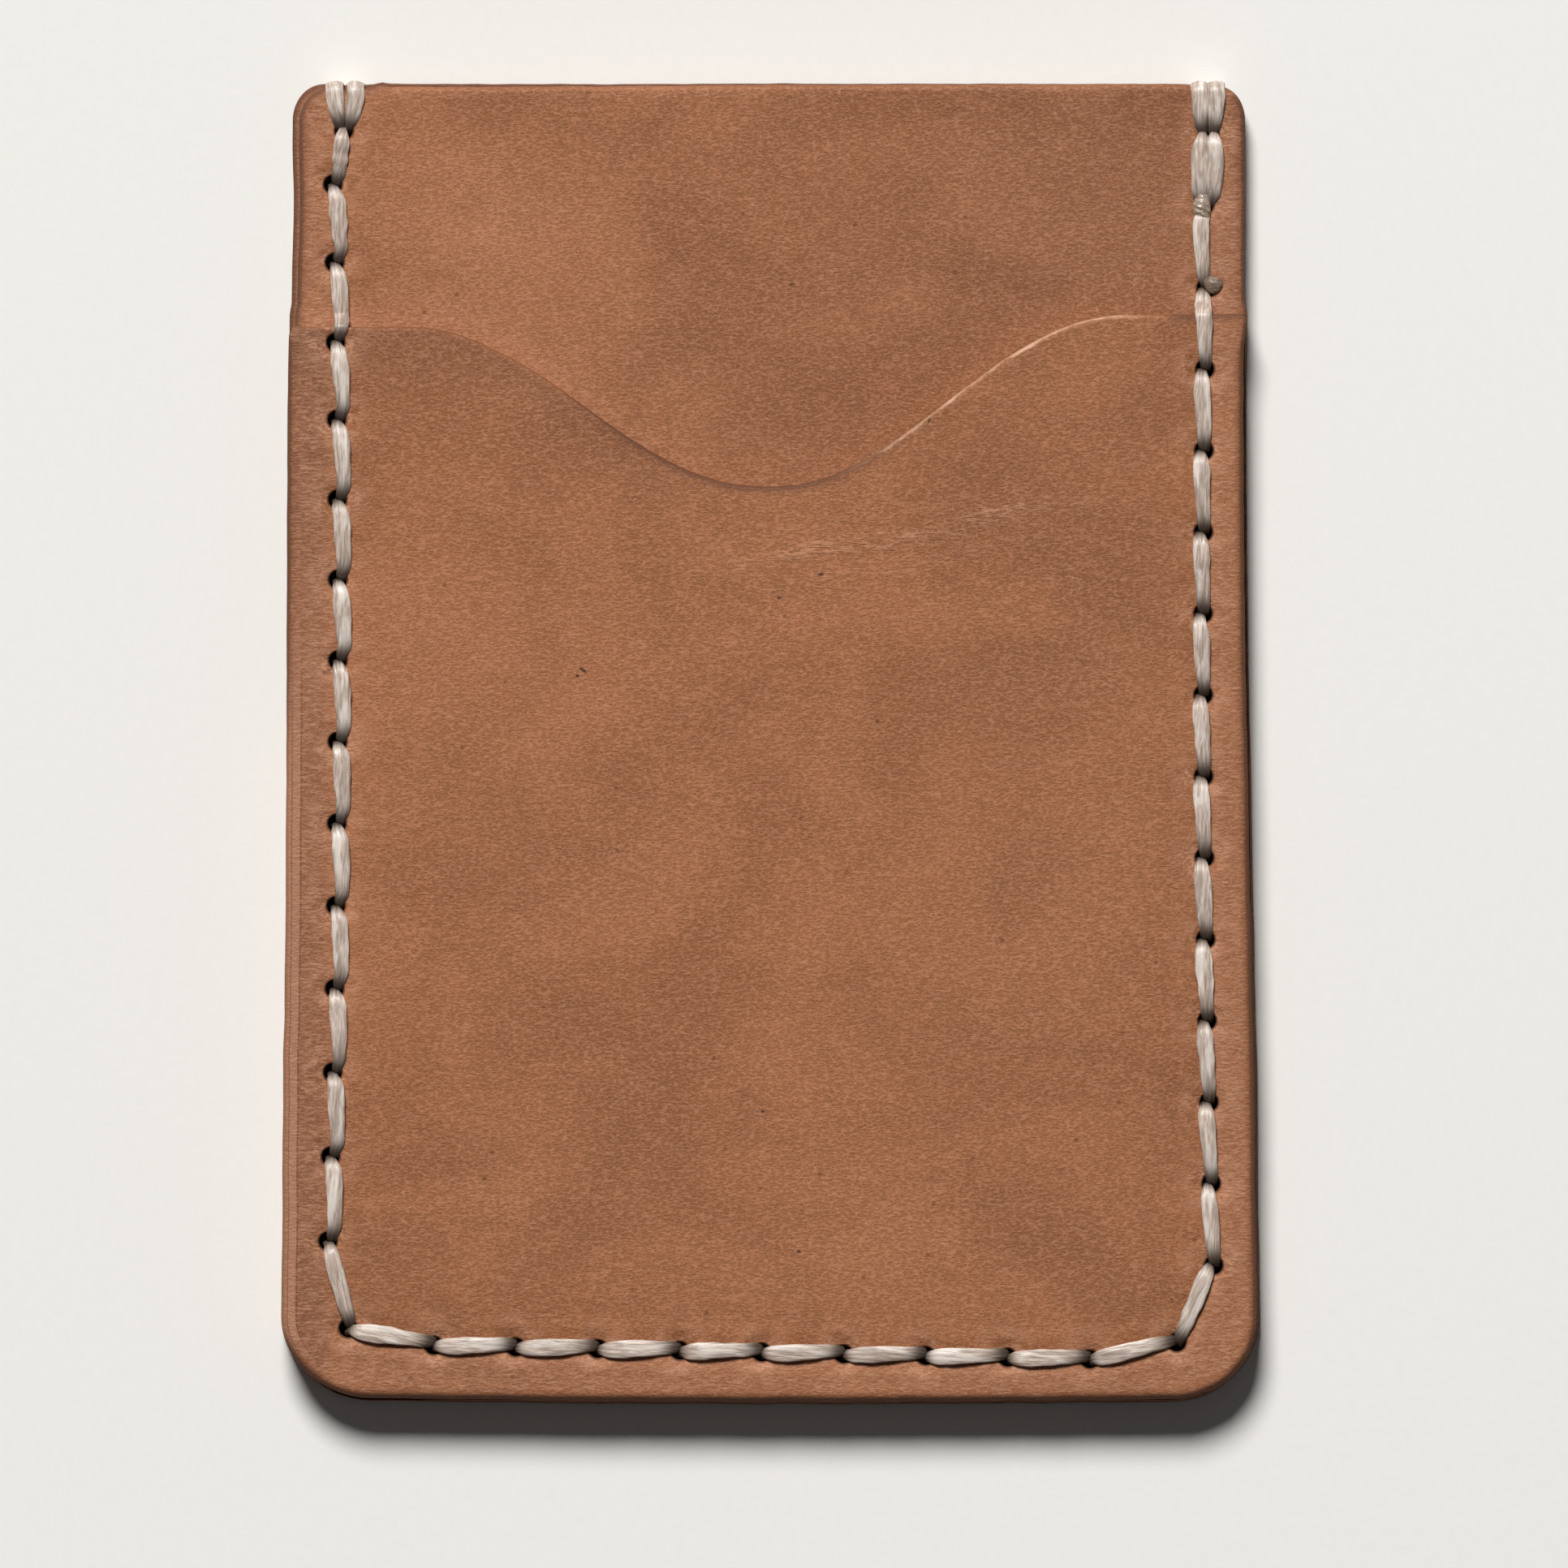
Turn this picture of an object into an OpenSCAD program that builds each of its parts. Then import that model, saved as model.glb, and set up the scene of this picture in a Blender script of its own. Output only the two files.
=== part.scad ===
// Upright leather card holder: three panels, cemented and saddle-stitched along three sides.
// It lies on its back. +Z points out of its front and +Y towards its open mouths. The origin
// is under the middle of its outline, in the plane that it rests on.

/* [Panels] */
// Width across the top edge
top_w = 68.8; // [67.5:0.1:71]
// Width across the bottom
bottom_w = 70.6; // [68:0.1:73]
// Height of the two full-size panels
panel_h = 95.2; // [94.8:0.1:98]
// Thickness of the leather
leather_t = 1.4; // [1.2:0.1:1.8]
// Radius of the two top corners
top_r = 2.5; // [1.5:0.1:4]
// Radius of the two bottom corners
bottom_r = 6.3; // [5:0.1:7]
// Bevel around the front and around the back
bevel = 0.4; // [0.2:0.1:0.5]
// How far the middle panel stands back from the edge at the top left corner
step_back = 0.5; // [0:0.1:0.7]

/* [Cement] */
// Thickness of the cement film between two panels, which is also the empty pocket's gap
cement_t = 0.1; // [0.05:0.05:0.2]
// Width of the cemented border
cement_w = 5.2; // [5:0.1:6]

/* [Mouth of the front pocket] */
// Height of its left shoulder over the middle of the holder
left_shoulder_y = 29.9; // [29.9:0.1:31]
// Height of its right shoulder
right_shoulder_y = 30.8; // [29.9:0.1:31]
// Height of the lowest point of its dip
dip_y = 18.4; // [12:0.1:24]
// Where the left shoulder ends and the dip begins
left_shoulder_x = -26.5; // [-30:0.5:-24]
// Where the dip is lowest
dip_x = -0.3; // [-4:0.1:4]
// Where the dip ends and the right shoulder begins
right_shoulder_x = 26; // [22:0.5:30]
// How much steeper the dip's flanks are than a plain wave
flank = 0.01; // [0:0.005:0.05]

/* [Stitch holes] */
// Diameter of a stitch hole
hole_d = 1.5; // [1.45:0.05:1.6]
// Distance of each side seam from the middle, where the seams come closest
seam_x = 31.05; // [30.6:0.05:31.2]
// How much further out each side seam lies at its ends
seam_flare = 0.85; // [0:0.05:1]
// Distance between two holes up the right side
right_pitch = 5.87; // [5.8:0.01:5.9]
// Distance between two holes along the bottom
bottom_pitch = 5.91; // [5.8:0.01:6]
// Distance between the first holes down the left side
left_pitch = 5.6; // [5.5:0.05:5.65]
// Depth of the stitching groove in the back
groove_depth = 0.46; // [0.44:0.01:0.6]

/* [Thread] */
// Width of the flattened thread of a stitch
thread_w = 1.15; // [0.9:0.05:1.15]
// Thickness of the flattened thread of a stitch
thread_t = 0.42; // [0.3:0.01:0.42]
// Diameter of the thread where it is squeezed into a hole
squeezed_d = 0.48; // [0.4:0.02:0.48]
// Diameter of the upper melted end
upper_end_d = 1; // [0.8:0.05:1]
// Diameter of the lower melted end
lower_end_d = 1.05; // [0.8:0.05:1.05]

/* [Hidden] */
$fn = 48;

leather_colour = [0.61, 0.4, 0.28];
cement_colour = [0.85, 0.78, 0.6];
thread_colour = [0.68, 0.6, 0.54];
melted_colour = [0.42, 0.36, 0.32];

clearance = 0.02;
overshoot = 1;
arc_steps = 8;
mouth_steps = 48;
tube_sides = 8;

// Levels of the stack
middle_z = leather_t + cement_t;
middle_top = middle_z + leather_t;
front_z = middle_top + cement_t;
front_top = front_z + leather_t;

// The thread wrapped over the top edge counts in the height that the origin halves
wrap_rise = thread_t + clearance;
top_y = (panel_h - wrap_rise) / 2;
low_y = top_y - panel_h;

// Stitch holes, from the top of the left side, round the bottom, to the top of the right side
waist_y = 8;
flare_reach = 48;
left_growth = 0.02;
first_hole = [-30.7, 44.1];
second_hole_y = 40.2;
left_corner_hole = [-30.4, -42.2];
bottom_start = [-24.3, -43.4];
bottom_fall = 0.125;
right_corner_hole = [29.2, -43.2];
right_start_y = -37.7;
last_hole_y = 43.8;
side_count = 14;
bottom_count = 9;

function seam_at(y) = seam_x + seam_flare * pow((y - waist_y) / flare_reach, 2);
function left_y(k) = second_hole_y - left_pitch * k - left_growth * k * k;
function right_y(k) = right_start_y + right_pitch * k;

holes = concat(
    [first_hole],
    [for (k = [0:side_count - 1]) [-seam_at(left_y(k)), left_y(k)]],
    [left_corner_hole],
    [for (k = [0:bottom_count - 1]) bottom_start + k * [bottom_pitch, -bottom_fall]],
    [right_corner_hole],
    [for (k = [0:side_count - 1]) [seam_at(right_y(k)), right_y(k)]],
    [[seam_at(last_hole_y), last_hole_y]]);
last = len(holes) - 1;

// ---- Outlines ----

function arc(centre, r, from, to) = [for (k = [0:arc_steps])
    let (angle = from + (to - from) * k / arc_steps) centre + r * [cos(angle), sin(angle)]];

// Outline of a full-size panel, drawn in from the edge, with its top left corner set further in
function outline(inset, set_in) = concat(
    arc([bottom_w / 2 - bottom_r, low_y + bottom_r], bottom_r - inset, -90, 0),
    arc([top_w / 2 - top_r, top_y - top_r], top_r - inset, 0, 90),
    arc([top_r - top_w / 2 + set_in, top_y - top_r - set_in / 2], top_r - inset, 90, 180),
    arc([bottom_r - bottom_w / 2, low_y + bottom_r], bottom_r - inset, 180, 270));

// Height of the mouth's edge at each place across the width
function ease(t) = (1 - cos(180 * t)) / 2 - flank * sin(360 * t);
function share(x, from, to) = min(max((x - from) / (to - from), 0), 1);
function mouth_y(x) = x < dip_x
    ? left_shoulder_y - (left_shoulder_y - dip_y) * ease(share(x, left_shoulder_x, dip_x))
    : right_shoulder_y - (right_shoulder_y - dip_y) * ease(share(x, right_shoulder_x, dip_x));

// ---- The thread's route ----

function unit(v) = v / norm(v);
function travel(i) = unit(holes[min(i + 1, last)] - holes[max(i - 1, 0)]);
function inward(i) = [-travel(i)[1], travel(i)[0]];
function reversed(list) = [for (k = [len(list) - 1:-1:0]) list[k]];
function taken(list, from, to) = [for (k = [from:to]) list[k]];

slot_r = 0.42;
half_w = thread_w / 2;
half_t = thread_t / 2;
squeezed_r = squeezed_d / 2;
lip_depth = 0.3;
landing = 0.95;
lane = half_w + 2 * clearance;
left_wrap_lane = 0.75;
left_wrap_half_w = 0.68;
passing_lane = 0.85;
passing_half_w = 0.33;
step_clear = 0.25;
step_foot = 0.8;
back_run_z = groove_depth - clearance - half_t;
single_half_w = 0.7;
double_half_w = 1.3;
wrap_groove_half_w = 1.6;
plain_steps = 2;
crowded_steps = 4;

// Places of the melted ends: along the seam from a hole, and out from it to the end's near side
upper_end_place = [0.45, 0.25];
lower_end_place = [-0.15, 0.5];
dome_share = 0.7;

// Where a pass lies in its hole: an angle from the direction of travel, turning inwards
function slot(i, angle) = holes[i] + slot_r * (cos(angle) * travel(i) + sin(angle) * inward(i));
function top_at(p) = p[1] > mouth_y(p[0]) ? middle_top : front_top;
function front_run_z(p) = top_at(p) + clearance + half_t;
function run_z(p, front) = front ? front_run_z(p) : back_run_z;

// A ring of the thread: centre, direction of its width, half width and half thickness
function ring(p, z, side, a, b) = [[p[0], p[1], z], [side[0], side[1], 0], a, b];

// The passes of a crowded hole need finer steps to stay clear as they turn about each other
function steps(i) = i > last - 3 ? crowded_steps : plain_steps;

// A pass from the front to the back: the threads in one hole turn about each other
function pass(i, angle, turn = 180) =
    let (n = steps(i), high = top_at(holes[i]) - lip_depth, low = groove_depth + lip_depth)
    [for (k = [0:n]) ring(slot(i, angle + turn * k / n), high + (low - high) * k / n,
        inward(i), squeezed_r, squeezed_r)];

// Where the thread bends over the lip of a hole
function bend(i, angle, front) =
    [ring(slot(i, angle), run_z(holes[i], front), inward(i), squeezed_r, half_t)];

// A stitch that crosses the mouth's edge steps up to the pocket or down from it
function step_rings(i, j, side) =
    let (a = holes[i], b = holes[j], edge = mouth_y(a[0]), way = (b - a) / (b[1] - a[1]))
    let (over = a + way * (edge + step_clear - a[1]), foot = a + way * (edge + step_foot - a[1]))
    let (rise = [
        ring(foot, middle_top + clearance + half_t, side, half_w, half_t),
        ring(over, front_top + clearance + half_t, side, half_w, half_t)])
    top_at(a) < top_at(b) ? rise : reversed(rise);

// A stitch along one face from hole i to hole j, bowed sideways into a lane
function run(i, from, j, to, front, lane = 0) =
    let (d = unit(holes[j] - holes[i]), side = unit(inward(i) + inward(j)),
        start = holes[i] + landing * d + lane * side, end = holes[j] - landing * d + lane * side,
        middle = (start + end) / 2, steps_over = front && top_at(holes[i]) != top_at(holes[j]))
    concat(
        bend(i, from, front),
        [ring(start, run_z(holes[i], front), side, half_w, half_t)],
        steps_over ? step_rings(i, j, side)
            : [ring(middle, run_z(holes[i], front), side, half_w, half_t)],
        [ring(end, run_z(holes[j], front), side, half_w, half_t)],
        bend(j, to, front));

// A wrap over the top edge, from the front of hole i to its back
function wrap(i, from, to, lane, width) =
    let (side = unit([inward(i)[0], 0]), x = holes[i][0] + lane * side[0],
        near = [holes[i][0] + lane * side[0] / 2, holes[i][1] + landing],
        near_w = abs(lane) / 2 - clearance,
        brink = [x, top_y - half_w], over = [x, top_y + clearance + half_t],
        high = middle_top + clearance + half_t, low = back_run_z)
    concat(
        bend(i, from, true),
        [ring(near, high, side, near_w, half_t), ring(brink, high, side, width, half_t),
            ring(over, high, side, width, half_t), ring(over, low, side, width, half_t),
            ring(brink, low, side, width, half_t), ring(near, low, side, near_w, half_t)],
        bend(i, to, false));

// Angles of the passes at the front of each kind of hole
down_angle = 150;
up_angle = 330;
crowded_down_angle = 210;
crowded_up_angle = 30;
function goes_down(i) = i == last - 1 ? crowded_down_angle : down_angle;
function comes_up(i) = i == last - 1 ? crowded_up_angle : up_angle;

// Three passes share the first hole, a third of a turn apart
first_turn = -120;
start_angle = 240;
wrap_b_start = 120;

// Four passes share the last hole, a quarter of a turn apart
wrap_a_end = 45;
seam_b_end = 135;
back_stitch_start = 225;
wrap_b_end = 315;

// The end of half b comes up beside the two passes of the last hole but two
tail_angle = 240;

// Angle at which stitch i leaves its hole, or reaches the next one, on one face
function leaving(i, front) = i == 0 ? 0 : front ? comes_up(i) : goes_down(i) + 180;
function reaching(i, front) = i < last ? (front ? goes_down(i) : comes_up(i) + 180)
    : front ? seam_b_end : wrap_a_end + 180;

function stitch_lane(i, front) = i == last - 1 ? (front ? lane : -lane)
    : i == last - 2 && !front ? -lane : 0;

// One half of the thread along the seam: stitches in front and behind in turn
function seam(front_first) = [for (i = [0:last - 1])
    let (front = (i % 2 == 0) == front_first)
    each concat(
        run(i, leaving(i, front), i + 1, reaching(i + 1, front), front, stitch_lane(i, front)),
        i + 1 == last ? []
            : front ? pass(i + 1, goes_down(i + 1)) : reversed(pass(i + 1, comes_up(i + 1))))];

// Half a: up from inside the first hole, over the top edge, along the seam, over the top edge
// again and one stitch back, where its end is melted on the front
function back_stitch_a() =
    let (i = last, d = -travel(i), side = inward(i),
        start = holes[i] + landing * d - lane * side, end = holes[i - 1] - landing * d - lane * side)
    concat(bend(i, back_stitch_start, true), [for (p = [start, (start + end) / 2, end])
        ring(p, front_run_z(p), side, half_w, half_t)]);
function route_a() = concat(
    reversed(taken(pass(0, start_angle, first_turn), 0, 1)),
    wrap(0, start_angle, start_angle, -left_wrap_lane, left_wrap_half_w),
    reversed(pass(0, 0, first_turn)),
    seam(true),
    reversed(pass(last, wrap_a_end)),
    wrap(last, wrap_a_end, wrap_a_end, lane, half_w),
    reversed(pass(last, back_stitch_start)),
    back_stitch_a());

// Half b: down from inside the first hole, over the top edge, along the seam, over the top edge
// again and two stitches back behind, to come up in front where its end is melted
function back_stitch_b() =
    let (i = last, side = inward(i - 1), d = -travel(i - 1))
    concat(
        bend(i, wrap_b_end - 180, false),
        [for (p = [holes[i] + landing * d, holes[i - 1] - 2 * landing * d])
            ring(p + lane * side, back_run_z, side, half_w, half_t)],
        [ring(holes[i - 1] + passing_lane * side, back_run_z, side, passing_half_w, half_t)],
        [for (p = [holes[i - 1] + 2 * landing * d, holes[i - 2] - landing * d])
            ring(p + lane * side, back_run_z, side, half_w, half_t)],
        bend(i - 2, tail_angle - 180, false));
function route_b() = concat(
    taken(pass(0, start_angle, first_turn), 1, 2),
    reversed(wrap(0, wrap_b_start, wrap_b_start, left_wrap_lane, left_wrap_half_w)),
    pass(0, wrap_b_start, first_turn),
    seam(false),
    pass(last, seam_b_end),
    reversed(wrap(last, wrap_b_end, wrap_b_end, -lane, half_w)),
    pass(last, wrap_b_end),
    back_stitch_b(),
    reversed(pass(last - 2, tail_angle)),
    [ring(slot(last - 2, tail_angle), middle_top - clearance, inward(last - 2),
        squeezed_r, squeezed_r)]);

// ---- Solids ----

module panel_outline(inset = 0, set_in = 0) {
    polygon(outline(inset, set_in));
}

// A full-size panel of leather, bevelled at its bottom edge or at its top edge
module bevelled_panel(low_bevel, high_bevel) {
    hull() {
        linear_extrude(leather_t - high_bevel) panel_outline(low_bevel);
        translate([0, 0, low_bevel]) linear_extrude(leather_t - low_bevel) panel_outline(high_bevel);
        translate([0, 0, low_bevel]) linear_extrude(leather_t - low_bevel - high_bevel) panel_outline();
    }
}

module above_mouth(z, height) {
    reach = bottom_w / 2 + overshoot;
    edge = [for (k = [0:mouth_steps])
        let (x = -reach + 2 * reach * k / mouth_steps) [x, mouth_y(x)]];
    translate([0, 0, z]) linear_extrude(height)
        polygon(concat(edge, [[reach, top_y + overshoot], [-reach, top_y + overshoot]]));
}

function groove_half_w(i) = i == 0 || i >= last - 2 ? double_half_w : single_half_w;

module stitch_holes() {
    for (p = holes) {
        translate([p[0], p[1], -overshoot]) cylinder(d = hole_d, h = front_top + 2 * overshoot);
    }
}

// One groove along the whole seam, wider where two threads lie side by side in it
module stitching_groove() {
    left_end = [[holes[0][0], top_y + overshoot]];
    right_end = [[holes[last][0], top_y + overshoot]];
    inner = [for (i = [0:last]) holes[i] + groove_half_w(i) * inward(i)];
    outer = [for (i = [last:-1:0]) holes[i] - groove_half_w(i) * inward(i)];
    translate([0, 0, -overshoot]) linear_extrude(overshoot + groove_depth)
        polygon(concat(left_end + [[wrap_groove_half_w, 0]], inner, right_end - [[double_half_w, 0]],
            right_end + [[double_half_w, 0]], outer, left_end - [[wrap_groove_half_w, 0]]));
}

// The cemented border: the outline less the pocket space, open at the top
module cement_film(z) {
    inner = bottom_w / 2 - cement_w;
    difference() {
        translate([0, 0, z]) linear_extrude(cement_t) panel_outline(bevel, step_back);
        translate([-inner, low_y + cement_w, z - overshoot])
            cube([2 * inner, panel_h, cement_t + 2 * overshoot]);
        stitch_holes();
    }
}

// A tube through the rings of a route
module thread(rings) {
    sides = tube_sides;
    count = len(rings);
    points = [for (k = [0:count - 1])
        let (t = unit(rings[min(k + 1, count - 1)][0] - rings[max(k - 1, 0)][0]),
            v = unit(cross(t, rings[k][1])), w = cross(v, t))
        for (s = [0:sides - 1])
            let (angle = 360 * (s + 0.5) / sides)
            rings[k][0] + rings[k][2] * cos(angle) * w + rings[k][3] * sin(angle) * v];
    walls = [for (k = [0:count - 2]) for (s = [0:sides - 1])
        let (next = (s + 1) % sides)
        [k * sides + s, k * sides + next, (k + 1) * sides + next, (k + 1) * sides + s]];
    near_cap = [for (s = [sides - 1:-1:0]) s];
    far_cap = [for (s = [0:sides - 1]) (count - 1) * sides + s];
    polyhedron(points, concat([near_cap], walls, [far_cap]));
}

// A melted thread end: a low dome on the leather
module melted_end(i, place, d) {
    middle = holes[i] + place[0] * travel(i) - (place[1] + d / 2) * inward(i);
    translate([middle[0], middle[1], middle_top + clearance])
        intersection() {
            translate([0, 0, (dome_share - 0.5) * d]) sphere(d = d);
            cylinder(d = d, h = d);
        }
}

// ---- Sub-parts ----

module back_panel() {
    color(leather_colour) difference() {
        bevelled_panel(bevel, 0);
        stitch_holes();
        stitching_groove();
    }
}

module middle_panel() {
    color(leather_colour) difference() {
        translate([0, 0, middle_z]) linear_extrude(leather_t) panel_outline(0, step_back);
        stitch_holes();
    }
}

module front_pocket() {
    color(leather_colour) difference() {
        translate([0, 0, front_z]) bevelled_panel(0, bevel);
        above_mouth(front_z - overshoot, leather_t + 2 * overshoot);
        stitch_holes();
    }
}

module rear_cement() {
    color(cement_colour) cement_film(leather_t);
}

module front_cement() {
    color(cement_colour) difference() {
        cement_film(middle_top);
        above_mouth(middle_top - overshoot, cement_t + 2 * overshoot);
    }
}

module stitch_thread_a() {
    color(thread_colour) thread(route_a());
}

module stitch_thread_b() {
    color(thread_colour) thread(route_b());
}

module thread_end_upper() {
    color(melted_colour) melted_end(last - 1, upper_end_place, upper_end_d);
}

module thread_end_lower() {
    color(melted_colour) melted_end(last - 2, lower_end_place, lower_end_d);
}

back_panel();
middle_panel();
front_pocket();
rear_cement();
front_cement();
stitch_thread_a();
stitch_thread_b();
thread_end_upper();
thread_end_lower();
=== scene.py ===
"""Looks of the upright leather card holder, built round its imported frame.

Sizes are in millimetres until a mesh is made. The holder lies on its back, +Z out of its front
and +Y towards its mouths.
"""
import math
import bmesh
import bpy
import numpy as np
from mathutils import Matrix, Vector
from mathutils.geometry import delaunay_2d_cdt


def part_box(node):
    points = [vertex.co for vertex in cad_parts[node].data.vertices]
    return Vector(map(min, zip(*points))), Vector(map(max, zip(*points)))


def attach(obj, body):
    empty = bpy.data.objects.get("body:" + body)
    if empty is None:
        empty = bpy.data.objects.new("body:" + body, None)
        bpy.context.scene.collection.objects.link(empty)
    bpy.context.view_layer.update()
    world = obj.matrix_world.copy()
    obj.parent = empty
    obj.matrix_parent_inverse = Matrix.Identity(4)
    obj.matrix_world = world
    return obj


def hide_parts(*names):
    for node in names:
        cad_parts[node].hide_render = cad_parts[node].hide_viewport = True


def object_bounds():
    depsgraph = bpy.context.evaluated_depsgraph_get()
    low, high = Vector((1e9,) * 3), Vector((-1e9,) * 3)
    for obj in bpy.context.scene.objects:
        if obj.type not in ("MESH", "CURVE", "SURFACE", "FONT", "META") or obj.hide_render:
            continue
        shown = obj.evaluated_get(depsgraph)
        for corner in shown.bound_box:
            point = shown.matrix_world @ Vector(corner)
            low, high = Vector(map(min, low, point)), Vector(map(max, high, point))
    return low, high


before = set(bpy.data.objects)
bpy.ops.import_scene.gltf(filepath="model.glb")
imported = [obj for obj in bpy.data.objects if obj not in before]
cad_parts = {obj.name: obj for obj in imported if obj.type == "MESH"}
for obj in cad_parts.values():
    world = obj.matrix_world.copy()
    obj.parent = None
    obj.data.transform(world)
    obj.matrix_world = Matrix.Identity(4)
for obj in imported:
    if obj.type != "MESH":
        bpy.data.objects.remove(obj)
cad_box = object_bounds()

MM = 0.001
BODY = "root"


def box_mm(node):
    low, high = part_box(node)
    return np.array(low) / MM, np.array(high) / MM


# ---- Sizes ----

back_low, back_high = box_mm("back_panel")
middle_low, middle_high = box_mm("middle_panel")
front_low, front_high = box_mm("front_pocket")

BOTTOM_W = back_high[0] - back_low[0]
LOW_Y, TOP_Y = back_low[1], back_high[1]
BACK_FACE, BACK_TOP = back_low[2], back_high[2]
MIDDLE_FACE, MIDDLE_TOP = middle_low[2], middle_high[2]
FRONT_FACE, FRONT_TOP = front_low[2], front_high[2]

TOP_W = 68.8
TOP_R = 2.5
BOTTOM_R = 6.3
STEP_BACK = 0.5

# The mouth's edge: a shoulder on each side and one smooth dip between them
RIGHT_SHOULDER_Y = front_high[1]
LEFT_SHOULDER_Y = RIGHT_SHOULDER_Y - 0.9
DIP_Y = RIGHT_SHOULDER_Y - 12.4
LEFT_SHOULDER_X = -26.5
DIP_X = -0.3
RIGHT_SHOULDER_X = 26
FLANK = 0.01
SHOULDER_R = 0.55

# Stitch holes
SEAM_X = 31.05
SEAM_FLARE = 0.85
WAIST_Y = 8
FLARE_REACH = 48
HOLE_R = 0.64
LIP_R = 0.16
HOLE_FACE_R = HOLE_R + LIP_R

# Thread
SLOT_R = 0.36
DOUBLE_LANE = 0.6
DOUBLE_FRONT = 0.53
DOUBLE_WIDTH = 1.06
GROOVE_DEPTH = 0.46
BACK_RUN_Z = 0.235


def smooth(low, high, x):
    t = np.clip((np.asarray(x, float) - low) / (high - low), 0, 1)
    return t * t * (3 - 2 * t)


def bell(x, width):
    return np.exp(-((np.asarray(x, float) / width) ** 2))


def waves(p, wavelength, seed, count=16):
    """A smooth random field over the points, mostly between -1 and 1."""
    draw = np.random.default_rng(seed)
    heading = draw.uniform(0, 2 * math.pi, count)
    phase = draw.uniform(0, 2 * math.pi, count)
    k = 2 * math.pi / (wavelength * draw.uniform(0.7, 1.5, count))
    angles = np.outer(p[:, 0], k * np.cos(heading)) + np.outer(p[:, 1], k * np.sin(heading)) + phase
    return np.sin(angles).sum(1) / math.sqrt(count)


def seam_at(y):
    return SEAM_X + SEAM_FLARE * ((y - WAIST_Y) / FLARE_REACH) ** 2


def left_y(k):
    return 40.2 - 5.6 * k - 0.02 * k * k


def right_y(k):
    return -37.7 + 5.87 * k


HOLES = np.array(
    [(-30.7, 44.1)]
    + [(-seam_at(left_y(k)), left_y(k)) for k in range(14)]
    + [(-30.4, -42.2)]
    + [(-24.3 + 5.91 * k, -43.4 - 0.125 * k) for k in range(9)]
    + [(29.2, -43.2)]
    + [(seam_at(right_y(k)), right_y(k)) for k in range(14)]
    + [(seam_at(43.8), 43.8)]
)
LAST = len(HOLES) - 1


def unit(v):
    return v / np.linalg.norm(v)


def travel(i):
    return unit(HOLES[min(i + 1, LAST)] - HOLES[max(i - 1, 0)])


def inward(i):
    x, y = travel(i)
    return np.array([-y, x])


def mouth_y(x):
    x = np.asarray(x, float)
    left = x < DIP_X
    shoulder_x = np.where(left, LEFT_SHOULDER_X, RIGHT_SHOULDER_X)
    shoulder_y = np.where(left, LEFT_SHOULDER_Y, RIGHT_SHOULDER_Y)
    t = np.clip((x - shoulder_x) / (DIP_X - shoulder_x), 0, 1)
    ease = (1 - np.cos(math.pi * t)) / 2 - FLANK * np.sin(2 * math.pi * t)
    return shoulder_y - (shoulder_y - DIP_Y) * ease


# The holes sit a little outside the line of the thread
HOLE_OUT = np.array([0.16 if 0 < i <= 14 else 0.1 for i in range(LAST + 1)])
OPEN_HOLES = np.array([HOLES[i] - HOLE_OUT[i] * inward(i) for i in range(LAST + 1)])
# The fourth hole down the left is cut close under the pocket's lip
LIP_HOLE = 3
OPEN_HOLES[LIP_HOLE, 1] -= 0.12
# The second from the top at the right is hidden under the doubled stitch
OPEN_HOLES[LAST - 1] += [-0.22, 0.14]


# ---- Distances ----


def to_holes(p):
    d = np.full(len(p), 1e9)
    for h in OPEN_HOLES:
        d = np.minimum(d, np.hypot(p[:, 0] - h[0], p[:, 1] - h[1]))
    return d


def to_segment(p, a, b):
    ab = b - a
    t = np.clip(((p - a) @ ab) / (ab @ ab), 0, 1)
    return np.linalg.norm(p - a - t[:, None] * ab, axis=1)


def to_outline(p, loop):
    """Distance from each point to the closed loop."""
    out = []
    before, after = np.roll(loop, 1, axis=0), np.roll(loop, -1, axis=0)
    for start in range(0, len(p), 4000):
        block = p[start : start + 4000]
        near = ((block[:, None, :] - loop[None, :, :]) ** 2).sum(2).argmin(1)
        best = np.full(len(block), 1e9)
        for a, b in ((before[near], loop[near]), (loop[near], after[near])):
            ab = b - a
            t = np.clip(((block - a) * ab).sum(1) / (ab * ab).sum(1), 0, 1)
            best = np.minimum(best, np.linalg.norm(block - a - t[:, None] * ab, axis=1))
        out.append(best)
    return np.concatenate(out)


def to_seam(p):
    """Distance from the seam, positive inside it."""
    d = np.full(len(p), 1e9)
    side = np.ones(len(p))
    for i in range(LAST):
        a, b = HOLES[i], HOLES[i + 1]
        here = to_segment(p, a, b)
        nearer = here < d
        ab = b - a
        cross = ab[0] * (p[:, 1] - a[1]) - ab[1] * (p[:, 0] - a[0])
        side = np.where(nearer, np.sign(cross), side)
        d = np.minimum(d, here)
    return d * side


# ---- Surfaces of the leather ----


def creases(p):
    """How strongly the leather is wrinkled: a band under the right flank of the mouth."""
    x, y = p[:, 0], p[:, 1]
    spine = 12.4 + 5.4 * smooth(-8, 30, x) + 0.35 * np.sin(x / 2.3)
    reach = smooth(-8, 4, x) * (1 - 0.6 * smooth(14, 22, x)) * (1 - smooth(22, 29, x))
    above = y - spine
    return reach * (bell(above, 0.75) + 0.45 * bell(above + 2.2, 0.6) + 0.35 * bell(above - 1.8, 0.5))


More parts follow.
